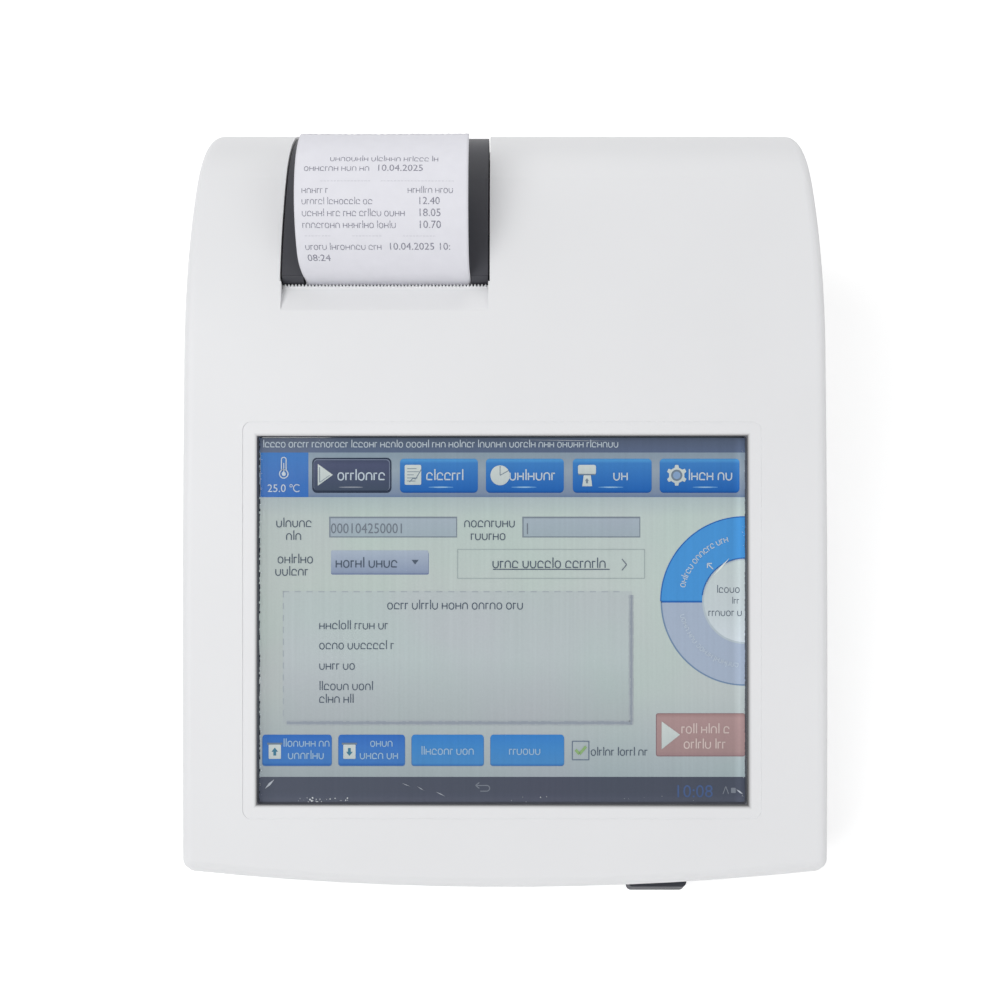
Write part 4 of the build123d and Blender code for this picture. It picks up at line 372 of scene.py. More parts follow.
def piece(name, vertices, faces, finish, slot, body="casing", uvs=None, smooth=False):
    mesh = bpy.data.meshes.new(name)
    mesh.from_pydata([tuple(v) for v in vertices], [], faces)
    if uvs:
        layer = mesh.uv_layers.new(name="UVMap")
        for loop in mesh.loops:
            layer.data[loop.index].uv = uvs[loop.vertex_index]
    mesh.polygons.foreach_set("use_smooth", [smooth] * len(mesh.polygons))
    mesh.update()
    return add_piece(name, mesh, finish, slot, body)


def settled(holder):
    """An object's mesh, once its curve or modifiers are worked out."""
    return bpy.data.meshes.new_from_object(holder.evaluated_get(bpy.context.evaluated_depsgraph_get()))


class Tree(Nodes):
    """A geometry tree with named inputs. Its result becomes a plain piece."""

    def __init__(self, name):
        super().__init__(bpy.data.node_groups.new(name, "GeometryNodeTree"))
        for way in ("INPUT", "OUTPUT"):
            self.tree.interface.new_socket("Geometry", in_out=way, socket_type="NodeSocketGeometry")
        self.source = self.nodes.new("NodeGroupInput")
        self.result = self.nodes.new("NodeGroupOutput")
        self.keys = {}

    def size(self, name, kind):
        kind = "NodeSocket" + kind
        self.keys[name] = self.tree.interface.new_socket(name, in_out="INPUT", socket_type=kind).identifier
        return self.source.outputs[name]

    def end(self, inputs):
        """Copies of an item on points, as plain geometry with one finish."""
        copies = self.add("GeometryNodeInstanceOnPoints", None, inputs)
        real = self.add("GeometryNodeRealizeInstances", None, {"Geometry": copies})
        inputs = {"Geometry": real, "Material": self.size("Finish", "Material")}
        self.feed(self.result.inputs["Geometry"], self.add("GeometryNodeSetMaterial", None, inputs))
        return self

    def make(self, name, item, values, finish, slot):
        source = bpy.data.meshes.new(name + "_source")
        source.from_pydata([tuple(v) for v in item[0]], [], item[1])
        holder = add_object(name + "_source", source)
        modifier = holder.modifiers.new(name, "NODES")
        modifier.node_group = self.tree
        for key, value in {**values, "Finish": finish}.items():
            modifier[self.keys[key]] = value
        mesh = settled(holder)
        holder.modifiers.remove(modifier)
        bpy.data.objects.remove(holder)
        bpy.data.meshes.remove(source)
        add_piece(name, mesh, finish, slot, "casing")


def row_tree():
    """Copies of one item, a step apart."""
    tree = Tree("row")
    inputs = {"Count": tree.size("Count", "Int"), "Offset": tree.size("Step", "Vector")}
    line = tree.add("GeometryNodeMeshLine", {"mode": "OFFSET"}, inputs)
    return tree.end({"Points": line, "Instance": tree.source.outputs["Geometry"]})


def scatter_tree():
    """Small discs of many sizes, strewn over a face."""
    tree = Tree("scatter")
    seed = tree.size("Seed", "Int")
    inputs = {"Mesh": tree.source.outputs["Geometry"], "Density": tree.size("Density", "Float"), "Seed": seed}
    points = tree.add("GeometryNodeDistributePointsOnFaces", None, inputs)
    disc = tree.add("GeometryNodeMeshCircle", {"fill_type": "NGON"}, {"Vertices": 7, "Radius": 1.0})
    inputs = {2: tree.size("Smallest", "Float"), 3: tree.size("Largest", "Float"), "Seed": seed}
    radius = tree.add("FunctionNodeRandomValue", {"data_type": "FLOAT"}, inputs, output=1)
    turn = points.beside("Rotation")
    return tree.end({"Points": points, "Instance": disc, "Rotation": turn, "Scale": radius})


ROW = row_tree()
SCATTER = scatter_tree()
TINY = 1e-6


def repeat(name, item, count, step, finish, slot):
    ROW.make(name, item, {"Count": count, "Step": tuple(step)}, finish, slot)


def flat(x, y):
    return (x, y)


def on_slope(x, up, lift):
    """The point x across and up along the slope, lift above its surface, in metres."""
    y = up * cos(SLOPE) - BODY_D / 2 - lift * sin(SLOPE)
    z = CHIN_Z + up * sin(SLOPE) + lift * cos(SLOPE)
    return Vector((x * MM, y * MM, z * MM))


def on_display(across, down, layer):
    """A point of the display, in its own pixels, a few hundredths of a millimetre above the touch panel."""
    x = SCREEN_X + (across - DISPLAY_PX_W / 2) * DISPLAY_W / DISPLAY_PX_W
    up = SCREEN_UP + (DISPLAY_PX_H / 2 - down) * DISPLAY_H / DISPLAY_PX_H
    return on_slope(x, up, LAYER_T * layer - PANEL_DEPTH)


class Drawing:
    """Flat shapes in a plane of their own, made into one thin piece by a function that places each point."""

    def __init__(self, name, finish, place, slot, body="casing"):
        self.name = name
        self.finish = finish
        self.place = place
        self.holds = (slot, body)
        self.points = []
        self.faces = []
        self.uvs = []

    def shape(self, points):
        xs = [p[0] for p in points]
        ys = [p[1] for p in points]
        wide = max(max(xs) - min(xs), TINY)
        high = max(max(ys) - min(ys), TINY)
        start = len(self.points)
        turn = sum(a[0] * b[1] - b[0] * a[1] for a, b in zip(points, points[1:] + points[:1]))
        if turn > 0:
            points = points[::-1]
        self.points += points
        self.uvs += [((x - min(xs)) / wide, (max(ys) - y) / high) for x, y in points]
        self.faces.append(list(range(start, len(self.points))))

    def box(self, x, y, corner=0.0):
        self.shape(rounded(x, y, corner))

    def strip(self, inner, outer):
        """A band between two lines of as many points each."""
        for index in range(len(inner) - 1):
            self.shape([inner[index], inner[index + 1], outer[index + 1], outer[index]])

    def stroke(self, points, width, place=flat):
        for (x0, y0), (x1, y1) in zip(points, points[1:]):
            long = max(hypot(x1 - x0, y1 - y0), TINY)
            nx = (y0 - y1) / long * width / 2
            ny = (x1 - x0) / long * width / 2
            corners = [(x0 + nx, y0 + ny), (x1 + nx, y1 + ny), (x1 - nx, y1 - ny), (x0 - nx, y0 - ny)]
            self.shape([place(x, y) for x, y in corners])

    def rim(self, x, y, width):
        self.stroke(rounded(x, y, 0) + [(x[0], y[0])], width)

    def make(self):
        vertices = [self.place(x, y) for x, y in self.points]
        piece(self.name, vertices, self.faces, self.finish, *self.holds, uvs=self.uvs)


def rounded(x, y, corner, steps=5):
    if corner <= 0:
        return [(x[0], y[0]), (x[1], y[0]), (x[1], y[1]), (x[0], y[1])]
    points = []
    middles = [(x[1] - corner, y[1] - corner), (x[0] + corner, y[1] - corner),
               (x[0] + corner, y[0] + corner), (x[1] - corner, y[0] + corner)]
    for quarter, (mx, my) in enumerate(middles):
        for step in range(steps + 1):
            turn = (quarter + step / steps) * pi / 2
            points.append((mx + corner * cos(turn), my + corner * sin(turn)))
    return points


def arc(middle, radius, start, end, steps=24):
    turns = [radians(start + (end - start) * step / steps) for step in range(steps + 1)]
    return [(middle[0] + radius * cos(turn), middle[1] - radius * sin(turn)) for turn in turns]


BOW = arc((0.25, -0.42), 0.25, 0, 180, 6)
CUP = arc((0.25, -0.25), 0.25, 180, 360, 6)
STEM = [(0.0, 0.0), (0.0, -0.67)]

# Made-up marks in a box as high as 1: the strokes of each, and how far on the next mark is
MARKS = (
    ([BOW, CUP, [(0.0, -0.42), (0.0, -0.25)], [(0.5, -0.42), (0.5, -0.25)]], 0.72),
    ([BOW, [(0.0, -0.42), (0.0, 0.0)], [(0.5, -0.42), (0.5, 0.0)]], 0.72),
    ([CUP, [(0.0, -0.25), (0.0, -0.67)], [(0.5, -0.25), (0.5, -0.67)]], 0.72),
    ([STEM, [(0.0, -0.62), (0.28, -0.62)]], 0.45),
    ([[(0.04, 0.0), (0.04, -1.0)]], 0.26),
    ([STEM, [(0.5, 0.0), (0.5, -0.67)], [(0.0, -0.34), (0.5, -0.34)]], 0.72),
    ([BOW, [(0.0, -0.42), (0.0, -0.05)], [(0.0, -0.05), (0.5, -0.05)]], 0.70),
)
WORD_GAP = 0.3
PEN = 0.12
FINE_PEN = 0.1


def scribble(drawing, x, y, seed, place=flat, pen=PEN):
    """A line of made-up marks that fills the box, with gaps between the words."""
    chance = random.Random(seed)
    high = y[1] - y[0]
    at = x[0]
    marks_left = chance.randint(4, 8)
    while at < x[1] - 0.4 * high:
        strokes, step = MARKS[chance.randrange(len(MARKS))]
        for stroke in strokes:
            drawing.stroke([(at + px * high, y[1] + py * high) for px, py in stroke], pen * high, place)
        at += step * high
        marks_left -= 1
        if marks_left == 0:
            at += WORD_GAP * high
            marks_left = chance.randint(3, 8)


def write(drawing, boxes, seed, pen=PEN):
    """A line of marks in each box."""
    for index, (x, y) in enumerate(boxes):
        scribble(drawing, x, y, seed + index, pen=pen)


def digits(drawing, text, x, y):
    """Figures in Blender's own font, from the left of the box, as high as it and no wider."""
    curve = bpy.data.curves.new("figures", "FONT")
    curve.body = text
    curve.resolution_u = 3
    holder = add_object("figures", curve)
    bpy.context.view_layer.update()
    mesh = settled(holder)
    high = (y[1] - y[0]) / max(v.co.y for v in mesh.vertices)
    wide = min(high, (x[1] - x[0]) / max(v.co.x for v in mesh.vertices))
    for face in mesh.polygons:
        corners = [mesh.vertices[index].co for index in face.vertices]
        drawing.shape([(x[0] + c.x * wide, y[1] - c.y * high) for c in corners])
    bpy.data.objects.remove(holder)
    bpy.data.curves.remove(curve)
    bpy.data.meshes.remove(mesh)


# The display, in its own pixels

DISPLAY_MARGIN = 3
TITLE_H = 30
TOOLS_LOW = 124
BASE_BAR = 713
BUTTON_Y = (43, 113)
BUTTONS = [(111, 277), (296, 461), (478, 643), (662, 829), (846, 1015)]
BUTTON_WORDS = [(165, 262), (353, 446), (529, 641), (749, 778), (908, 1012)]
GLINT_SHIFTS = (-2, 4, -2, -3, 12)
GLINT_UP = 10
LOW_BUTTON_Y = (624, 689)
LOW_BUTTONS = [(5, 151), (166, 306), (321, 473), (488, 643)]
LOW_BUTTON_WORDS = [
    ((50, 147), (632, 649)), ((60, 142), (657, 675)), ((234, 286), (632, 649)), ((212, 299), (657, 675)),
    ((342, 455), (648, 666)), ((528, 604), (648, 666)),
]
START_BUTTON = ((840, 1027), (580, 668))
START_WORDS = [((893, 996), (600, 621)), ((898, 992), (632, 653))]
DARK_WORDS = [
    ((35, 110), (167, 187)), ((56, 98), (194, 214)), ((433, 545), (167, 187)), ((447, 530), (194, 214)),
    ((38, 114), (243, 263)), ((33, 112), (269, 289)), ((493, 738), (251, 273)), ((270, 560), (340, 360)),
    ((126, 274), (383, 402)), ((126, 286), (425, 444)), ((126, 204), (468, 487)), ((126, 252), (511, 530)),
    ((126, 206), (538, 557)), ((701, 828), (650, 668)), ((968, 1021), (309, 325)), ((1000, 1020), (334, 348)),
    ((950, 1022), (358, 374)),
]
FIELDS_X = [(147, 416), (556, 804)]
FIELDS_Y = (166.5, 207.5)
RING_MIDDLE = (1026, 343)
RING_R = 178
RING_START = 89
RING_END = 271
RING_STEPS = 44
RING_HOLE_R = 90
RING_WORDS_R = 138
GROUP_BOX = ((48, 787), (322, 601))
DASH = 13
DASH_T = 2
DASH_PITCH = 25
SHADOW_STEP = 7
SHADOW_LONG = 7.2
INK = (82, 92, 106)
# The page's colour grows lighter from its left to its right side: painted light, against how the studio light
# falls
PAGE_SIDE_LIGHT = ((1.0, 0.97, 0.92), (1.08, 1.06, 1.01))
BASE_TINT = ((1.12, 1.12, 1.10), (0.95, 0.95, 0.97))

# Painted highlights on the film, and its scratches: start, end, width. Its lifted edge: how many bits, how
# long, where on the right
GLINTS_AND_SCRATCHES = [
    ((10, 738), (30, 718), 5), ((1008, 739), (1023, 750), 3.2), ((540, 3), (760, 6), 1.1),
    ((300, 726), (318, 733), 1.2), ((332, 733), (348, 742), 1.2), ((372, 744), (392, 754), 1.6),
]
FILM_BITS = 150
FILM_BIT_LONG = 5.3
FILM_RIGHT = 1026.8
SPECK_MIN_R = 0.04

# Where specks of the film lie: across, down, how many on a square metre, seed, the widest in millimetres
FLECKS = [
    ("low_left", (74, 190), (757, 766), 800000, 3, 0.5),
    ("low_bright", (100, 120), (755, 765), 1200000, 5, 0.8),
    ("low_middle", (330, 640), (754, 766), 60000, 4, 0.36),
    ("low_right", (640, 1015), (752, 764), 60000, 6, 0.22),
    ("left", (-1, 4), (20, 764), 600000, 8, 0.26),
    ("right", (1020, 1026), (20, 764), 250000, 9, 0.22),
    ("top", (10, 700), (0, 14), 30000, 10, 0.16),
    ("page", (10, 1010), (130, 700), 2200, 11, 0.14),
]


SHEETS = []


def sheet(name, stops, number, blotch=0.0, tint=None):
    """A drawing on a layer of the display, with a film of its own. All are made once all are drawn."""
    film = display_film("film_" + name, stops, blotch, tint)
    SHEETS.append(Drawing("display_" + name, film, lambda x, y: on_display(x, y, number), "screen"))
    return SHEETS[-1]


def field(x, y, number):
    """A rectangle on a layer of the display, as corners and one face."""
    return [on_display(across, down, number) for across, down in rounded(x, y[::-1], 0)], [[0, 1, 2, 3]]


def display_background():
    """The page, the bars above it and the one below it."""
    page = [(0.0, (152, 163, 171)), (0.08, (158, 168, 175)), (0.3, (172, 182, 184)),
            (0.7, (177, 188, 188)), (0.93, (174, 187, 187)), (1.0, (160, 174, 180))]
    tools = [(0.0, (102, 120, 148)), (0.08, (118, 132, 154)), (0.6, (141, 154, 166)), (1.0, (132, 147, 160))]
    title = [(0.0, (92, 104, 128)), (1.0, (88, 98, 116))]
    # The lower bar is lighter towards its low edge: painted light, to make up for the shade the window's wall
    # casts there
    base = [(0.0, (99, 103, 116)), (0.15, (92, 96, 109)), (0.27, (85, 89, 102)), (0.42, (82, 86, 98)),
            (1.0, (80, 84, 96))]
    x = (-DISPLAY_MARGIN, DISPLAY_PX_W + DISPLAY_MARGIN)
    sheet("page", page, 1, 1.0, PAGE_SIDE_LIGHT).box(x, (TOOLS_LOW, BASE_BAR))
    sheet("toolbar", tools, 1, 0.6).box(x, (TITLE_H, TOOLS_LOW))
    sheet("title_bar", title, 1, 0.6).box(x, (-1, TITLE_H))
    sheet("base_bar", base, 1, 0.6, BASE_TINT).box(x, (BASE_BAR, DISPLAY_PX_H))


def display_buttons():
    """Buttons of the upper row, lighter along the top, with a small glint near the lower edge."""
    blue = [(0.0, (40, 88, 156)), (0.06, (48, 98, 168)), (0.5, (60, 112, 178)), (0.86, (68, 122, 184)),
            (0.95, (82, 144, 200)), (1.0, (76, 136, 192))]
    blues = sheet("blue_buttons", blue, 3)
    edges = sheet("button_edges", (46, 84, 146), 2)
    glints = sheet("button_glints", (96, 144, 194), 4)
    cores = sheet("button_glint_cores", (146, 180, 208), 5)
    top, low = BUTTON_Y
    spots = [((x[0] + x[1]) / 2 + shift, low - GLINT_UP) for x, shift in zip(BUTTONS, GLINT_SHIFTS)]
    for x, spot in zip(BUTTONS[1:], spots[1:]):
        edges.box(x, (top + 4, low + 2), 9)
        blues.box(x, BUTTON_Y, 8)
        glints.shape(oval(spot, 27, 1.7))
        cores.shape(oval(spot, 15, 0.9))
    left, right = BUTTONS[0]
    dark = [(0.0, (68, 78, 95)), (0.85, (78, 84, 108)), (1.0, (72, 79, 100))]
    sheet("chosen_button_edge", (50, 58, 74), 2).box((left - 1, right + 1), (top - 2, low + 2), 10)
    sheet("chosen_button_line", (112, 122, 142), 3).box((left + 2, right - 2), (top + 1, low - 3), 8)
    sheet("chosen_button", dark, 4).box((left + 3, right - 4), (top + 3, low - 3), 7)
    sheet("chosen_button_glint", (134, 140, 152), 5).shape(oval(spots[0], 26, 1.3))
    tile = [(0.0, (60, 106, 176)), (0.5, (64, 110, 176)), (1.0, (62, 116, 182))]
    sheet("temperature_tile", tile, 2).box((1, 102), (TITLE_H, TOOLS_LOW))


def display_low_buttons():
    """Buttons of the lower row, and the start button."""
    plain = [(0.0, (64, 112, 172)), (0.08, (78, 132, 186)), (0.6, (72, 130, 190)), (1.0, (66, 124, 190))]
    dull = [(0.0, (58, 98, 164)), (0.1, (72, 118, 180)), (0.6, (70, 116, 184)), (1.0, (62, 106, 178))]
    bright = sheet("low_buttons", plain, 3)
    dim = sheet("cartridge_buttons", dull, 3)
    shade = sheet("low_button_edges", (88, 118, 160), 2)
    for index, x in enumerate(LOW_BUTTONS):
        shade.box((x[0] - 1, x[1] + 1), (LOW_BUTTON_Y[0] + 2, LOW_BUTTON_Y[1] + 1.5), 6)
        (bright if index > 1 else dim).box(x, LOW_BUTTON_Y, 6)
    start = [(0.0, (148, 124, 126)), (0.1, (156, 132, 132)), (0.9, (164, 138, 138)), (1.0, (150, 122, 122))]
    (left, right), (top, low) = START_BUTTON
    sheet("start_button", start, 3).box(*START_BUTTON, 4)
    sheet("start_button_edge", (134, 112, 116), 2).box((left - 2, right), (top - 1, low + 2), 5)


def oval(middle, half_w, half_h, steps=18):
    turns = [2 * pi * step / steps for step in range(steps)]
    return [(middle[0] + half_w * cos(turn), middle[1] + half_h * sin(turn)) for turn in turns]


def ring_arc(radius, start=RING_START, end=RING_END):
    return arc(RING_MIDDLE, radius, start, end, RING_STEPS)


def ring_band(drawing, inner, outer, start, end):
    drawing.strip(ring_arc(inner, start, end), ring_arc(outer, start, end))


def display_ring():
    """The ring at the right side, cut off by it, and its hub."""
    ring_band(sheet("ring_upper", (76, 142, 204), 2), RING_HOLE_R, RING_R, RING_START, 180)
    ring_band(sheet("ring_lower", (158, 171, 190), 2), RING_HOLE_R, RING_R, 180, RING_END)
    ring_band(sheet("ring_lower_edge", (112, 134, 162), 3), RING_R - 3, RING_R, 180, RING_END)
    edge = sheet("ring_upper_edge", (56, 104, 172), 3)
    ring_band(edge, RING_R - 1.5, RING_R + 1, RING_START, 180)
    ring_band(edge, RING_HOLE_R - 1, RING_HOLE_R + 2, RING_START, 172)
    x, y = RING_MIDDLE
    edge.box((x - RING_R, x - RING_HOLE_R), (y - 1, y + 3))
    hub = [(0.0, (198, 206, 212)), (0.4, (188, 197, 200)), (1.0, (186, 196, 196))]
    sheet("ring_hub_edge", (172, 184, 192), 3).shape(ring_arc(RING_HOLE_R))
    sheet("ring_hub", hub, 4, 0.6).shape(ring_arc(RING_HOLE_R - 4))
    sheet("ring_glare", (210, 218, 214), 5).shape(slim((994, 252), (956, 293), 4.5))


def round_ring(start):
    """Bends a straight line of writing round the ring, from an angle on."""
    def place(across, down):
        turn = radians(start) - across / RING_WORDS_R
        reach = RING_WORDS_R - down
        return (RING_MIDDLE[0] + reach * cos(turn), RING_MIDDLE[1] - reach * sin(turn))
    return place


def display_pale_marks():
    pale = sheet("pale_marks", (182, 194, 204), 6)
    scribble(pale, (7, 765), (3, 19), 1)
    write(pale, [(x, (65, 88)) for x in BUTTON_WORDS], 10)
    digits(pale, "25.0", (15, 60), (97, 113))
    pale.stroke(arc((65.5, 100), 2.8, 0, 360, 10), 1.5)
    pale.stroke(arc((78, 105), 7.5, 45, 315, 12), 2.0)
    scribble(pale, (0, 150), (-7, 8), 52, round_ring(167))
    thermometer(pale, (50, 66))
    pale.stroke([(949, 265.5), (959, 275.5)], 2.4)
    pale.stroke([(947, 273), (947, 263.5), (956.5, 263.5)], 2.4)
    scribble(sheet("ring_writing", (182, 194, 206), 6), (0, 182), (-6, 7), 53, round_ring(264))
    write(sheet("low_button_marks", (150, 178, 202), 6), LOW_BUTTON_WORDS, 40)
    write(sheet("start_button_marks", (200, 184, 180), 6), START_WORDS, 46)


def thermometer(drawing, middle):
    x, y = middle
    drawing.stroke(arc((x, y + 9), 9, 58, 482, 20), 2.4)
    drawing.shape(oval((x, y + 9), 4.5, 4.5))
    drawing.stroke([(x - 5, y + 1), (x - 5, y - 21)] + arc((x, y - 21), 5, 180, 0, 6) + [(x + 5, y + 1)], 2.2)
    drawing.box((x - 1, x + 1), (y - 14, y + 5))


def display_icons():
    """Cream icons, and the fine grey lines in them."""
    cream = sheet("icons", [(0.0, (180, 190, 190)), (1.0, (194, 202, 200))], 6)
    lines = sheet("icon_lines", (112, 126, 140), 7)
    cream.shape([(122, 54), (154, 77), (122, 100)])
    lines.stroke([(126, 61), (126, 93)], 1.6)
    lines.stroke([(126, 93), (147, 78)], 1.2)
    cream.box((306, 341), (56, 98), 3)
    for row, long in enumerate((20, 26, 14, 22, 18)):
        lines.stroke([(311, 64 + 6.5 * row), (311 + long, 64 + 6.5 * row)], 1.4)
    lines.stroke([(316, 92), (324, 84), (329, 86), (341, 66)], 1.8)
    cream.shape(oval((508, 78), 20.5, 21, 30))
    lines.stroke([(508, 58), (508, 78), (526, 68)], 1.6)
    cream.box((673, 711), (56, 76), 4)
    cream.shape([(685, 78), (700, 78), (703, 101), (682, 101)])
    lines.box((674, 710), (75, 77.5))
    lines.shape([(692, 84), (696, 90), (694, 90), (694, 95), (690, 95), (690, 90), (688, 90)])
    gear(cream, (882, 78), 22)
    lines.shape(oval((882, 78), 12, 12))
    sheet("gear_hub", (130, 156, 190), 8).shape(oval((882, 78), 8, 8))
    arrows = sheet("icon_arrows", (74, 120, 142), 7)
    for x, turn in ((31, -1), (189, 1)):
        cream.box((x - 13, x + 13), (645, 675), 2)
        lines.box((x - 16, x + 16), (641, 645))
        tip = 660 + 9 * turn
        arrows.shape([(x, tip), (x + 7, tip - 9 * turn), (x - 7, tip - 9 * turn)])
        arrows.box((x - 3, x + 3), sorted((tip - 9 * turn, tip - 17 * turn)))
    cream.shape([(850, 596), (889, 624), (850, 655)])


def gear(drawing, middle, radius):
    points = []
    for tooth in range(6):
        for turn, reach in ((-16, 0.76), (-9, 1.0), (9, 1.0), (16, 0.76)):
            angle = radians(60 * tooth + 30 + turn)
            points.append((middle[0] + radius * reach * cos(angle), middle[1] + radius * reach * sin(angle)))
    drawing.shape(points)


def display_dark_marks():
    dark = sheet("dark_marks", INK, 5)
    write(dark, DARK_WORDS, 60, FINE_PEN)
    dark.box((493, 740), (275, 277))
    scribble(dark, (161, 288), (250, 272), 90)
    dark.shape([(320.5, 256), (335.5, 256), (328, 265.5)])
    faint = sheet("field_figures", (112, 120, 130), 5)
    digits(faint, "000104250001", (149, 300), (179, 200))
    digits(faint, "1", (560, 567), (179, 202))
    faint.stroke([(766, 254), (776, 266), (766, 278)], 2.2)


def display_frames():
    """Input boxes, the group box and the tick box."""
    shade = sheet("field_shade", (122, 132, 142), 2)
    fields = sheet("fields", [(0.0, (152, 165, 173)), (1.0, (157, 168, 178))], 3, 0.7)
    top, low = FIELDS_Y
    for left, right in FIELDS_X:
        shade.box((left - 1, right + 1), (top - 1.5, low + 1.5))
        fields.box((left + 2, right - 1), (top + 2, low - 1))
    drop = [(0.0, (126, 138, 160)), (0.12, (136, 148, 170)), (1.0, (160, 171, 186))]
    sheet("dropdown", drop, 3, 0.5).box((150, 356), (236, 285), 3)
    sheet("dropdown_edge", (100, 113, 150), 2).box((150, 357), (240, 287), 3)
    sheet("link_box_edge", (154, 166, 166), 3).rim((418, 814), (234, 295), 1.8)
    inside = [(0.0, (163, 170, 172)), (0.5, (176, 184, 185)), (1.0, (175, 183, 183))]
    sheet("group_page", inside, 2, 1.0).box(*GROUP_BOX)
    sheet("tick_box", (108, 120, 136), 4).rim((661, 696), (638, 677), 2.2)
    sheet("tick_green", (134, 166, 116), 5).stroke([(668, 656), (676, 665), (690, 649)], 6)


def group_dashes():
    """Dashes along the top and the left side of the group box."""
    (left, right), (top, low) = GROUP_BOX
    film = display_film("film_group_dashes", (156, 164, 171))
    for name, wide, high, long, across, down in (
        ("top", DASH, DASH_T, right - left, DASH_PITCH, 0),
        ("left", DASH_T, DASH, low - top, 0, DASH_PITCH),
    ):
        step = on_display(left + across, top + down, 0) - on_display(left, top, 0)
        dash = field((left, left + wide), (top, top + high), 3)
        repeat("display_group_dashes_" + name, dash, int(long / DASH_PITCH), step, film, "screen")


def group_shadow():
    """The uneven shadow along the lower and the right side of the group box."""
    (left, right), (top, low) = GROUP_BOX
    chance = random.Random(7)
    soft = sheet("group_shadow_soft", (160, 168, 173), 3)
    core = sheet("group_shadow", (142, 150, 160), 4)
    for at in range(left + 8, right - 4, SHADOW_STEP):
        x = (at, at + SHADOW_LONG)
        soft.box(x, (low - 7 - chance.random(), low + 3 + chance.random()))
        core.box(x, (low - 4 - 1.5 * chance.random(), low + 0.6 + chance.random()))
    for at in range(top + 8, low - 2, SHADOW_STEP):
        y = (at, at + SHADOW_LONG)
        soft.box((right - 6 - chance.random(), right + 3 + chance.random()), y)
        core.box((right - 2.5 - 1.5 * chance.random(), right + 0.6 + chance.random()), y)


def display_base_marks():
    faint = sheet("base_marks", (122, 128, 138), 3)
    faint.stroke([(457, 731), (480, 731)] + arc((480, 737), 6, 90, -90, 8) + [(466, 743)], 2.0)
    faint.stroke([(464, 725), (456, 731), (464, 737)], 2.0)
    faint.stroke([(980, 749), (986, 733), (992, 749)], 1.8)
    faint.box((997, 1007), (736, 747), 1.5)
    digits(sheet("clock", (80, 98, 136), 3), "10:08", (876, 969), (730, 756))


def film_flecks():
    """Specks, scratches, painted highlights and lifted edges of the protective film: most along its lower and
    left sides.
    """
    white = display_film("film_specks", (218, 223, 226))
    for name, x, y, density, seed, largest in FLECKS:
        sizes = {"Smallest": SPECK_MIN_R * MM, "Largest": largest / 2 * MM}
        values = {"Density": float(density), "Seed": seed, **sizes}
        SCATTER.make("display_flecks_" + name, field(x, y, 7), values, white, "screen")
    # The glints are painted highlights on the film; its scratches are drawn with them
    glints = sheet("film_glints", (176, 182, 190), 7)
    for sliver in GLINTS_AND_SCRATCHES:
        glints.shape(slim(*sliver))
    chance = random.Random(21)
    dark = sheet("film_edge", (60, 64, 70), 6)
    for index in range(FILM_BITS):
        at = index * DISPLAY_PX_H / FILM_BITS
        y = (at, at + FILM_BIT_LONG)
        dark.box((-DISPLAY_MARGIN, chance.uniform(-2.2, 0.4)), y)
        dark.box((FILM_RIGHT - chance.uniform(0.0, 0.8), DISPLAY_PX_W + DISPLAY_MARGIN), y)


def slim(start, end, wide):
    """A sliver that is widest in the middle."""
    middle = ((start[0] + end[0]) / 2, (start[1] + end[1]) / 2)
    long = hypot(end[0] - start[0], end[1] - start[1])
    nx = (start[1] - end[1]) / long * wide / 2
    ny = (end[0] - start[0]) / long * wide / 2
    return [start, (middle[0] + nx, middle[1] + ny), end, (middle[0] - nx, middle[1] - ny)]


# Window

def window_box(gap=0.0):
    """The window's extent across and up the slope, less a gap."""
    half_w = WINDOW_W / 2 - gap
    half_h = WINDOW_H / 2 - gap
    return (SCREEN_X - half_w, SCREEN_X + half_w), (WINDOW_UP - half_h, WINDOW_UP + half_h)


def window_edge():
    """The window's wall, dark for the panel's black border and for painted shade, and the casing's edge round
    it, with painted shade.
    """
    rims = []
    for outs in (EDGE_OUT, (0.0,) * 4):
        for (side, level_side), out in zip(((-1, -1), (1, -1), (1, 1), (-1, 1)), outs):
            x = SCREEN_X + side * (WINDOW_W / 2 + out)
            rims.append(on_slope(x, WINDOW_UP + level_side * (WINDOW_H / 2 + out), EDGE_LIFT))
    run = [(0.0, 1.0)] * 4 + [(0.0, start) for start in EDGE_FROM]
    piece("window_edge", rims, band(4), edge_shade(), "case_plastic", uvs=run)
    # The wall and the corners are dark: partly the panel's black border, partly painted shade in the recess
    dark_wall_finish = rubber("gasket_black", (0.085, 0.09, 0.105))
    outline = rounded(*window_box(SLEEVE_GAP), CORNER_R - SLEEVE_GAP, CORNER_STEPS)
    wall = [on_slope(x, up, lift) for lift in (EDGE_LIFT, PANEL_GAP - PANEL_DEPTH) for x, up in outline]
    piece("window_wall", wall, band(len(outline)), dark_wall_finish, "rubber")
    window_corners(dark_wall_finish)


def band(count):
    """Faces between two closed lines of as many points each."""
    return [[i, (i + 1) % count, count + (i + 1) % count, count + i] for i in range(count)]


def window_corners(finish):
    """The shade in the window's four rounded corners."""
    (left, right), (low, high) = window_box()
    outline = rounded((left, right), (low, high), CORNER_R, CORNER_STEPS)
    tips = [(right, high), (left, high), (left, low), (right, low)]
    faces = []
    for quarter in range(4):
        tip = len(outline) + quarter
        start = quarter * (CORNER_STEPS + 1)
        faces += [[tip, start + step + 1, start + step] for step in range(CORNER_STEPS)]
    piece("window_corners", [on_slope(x, up, EDGE_LIFT) for x, up in outline + tips], faces, finish, "rubber")


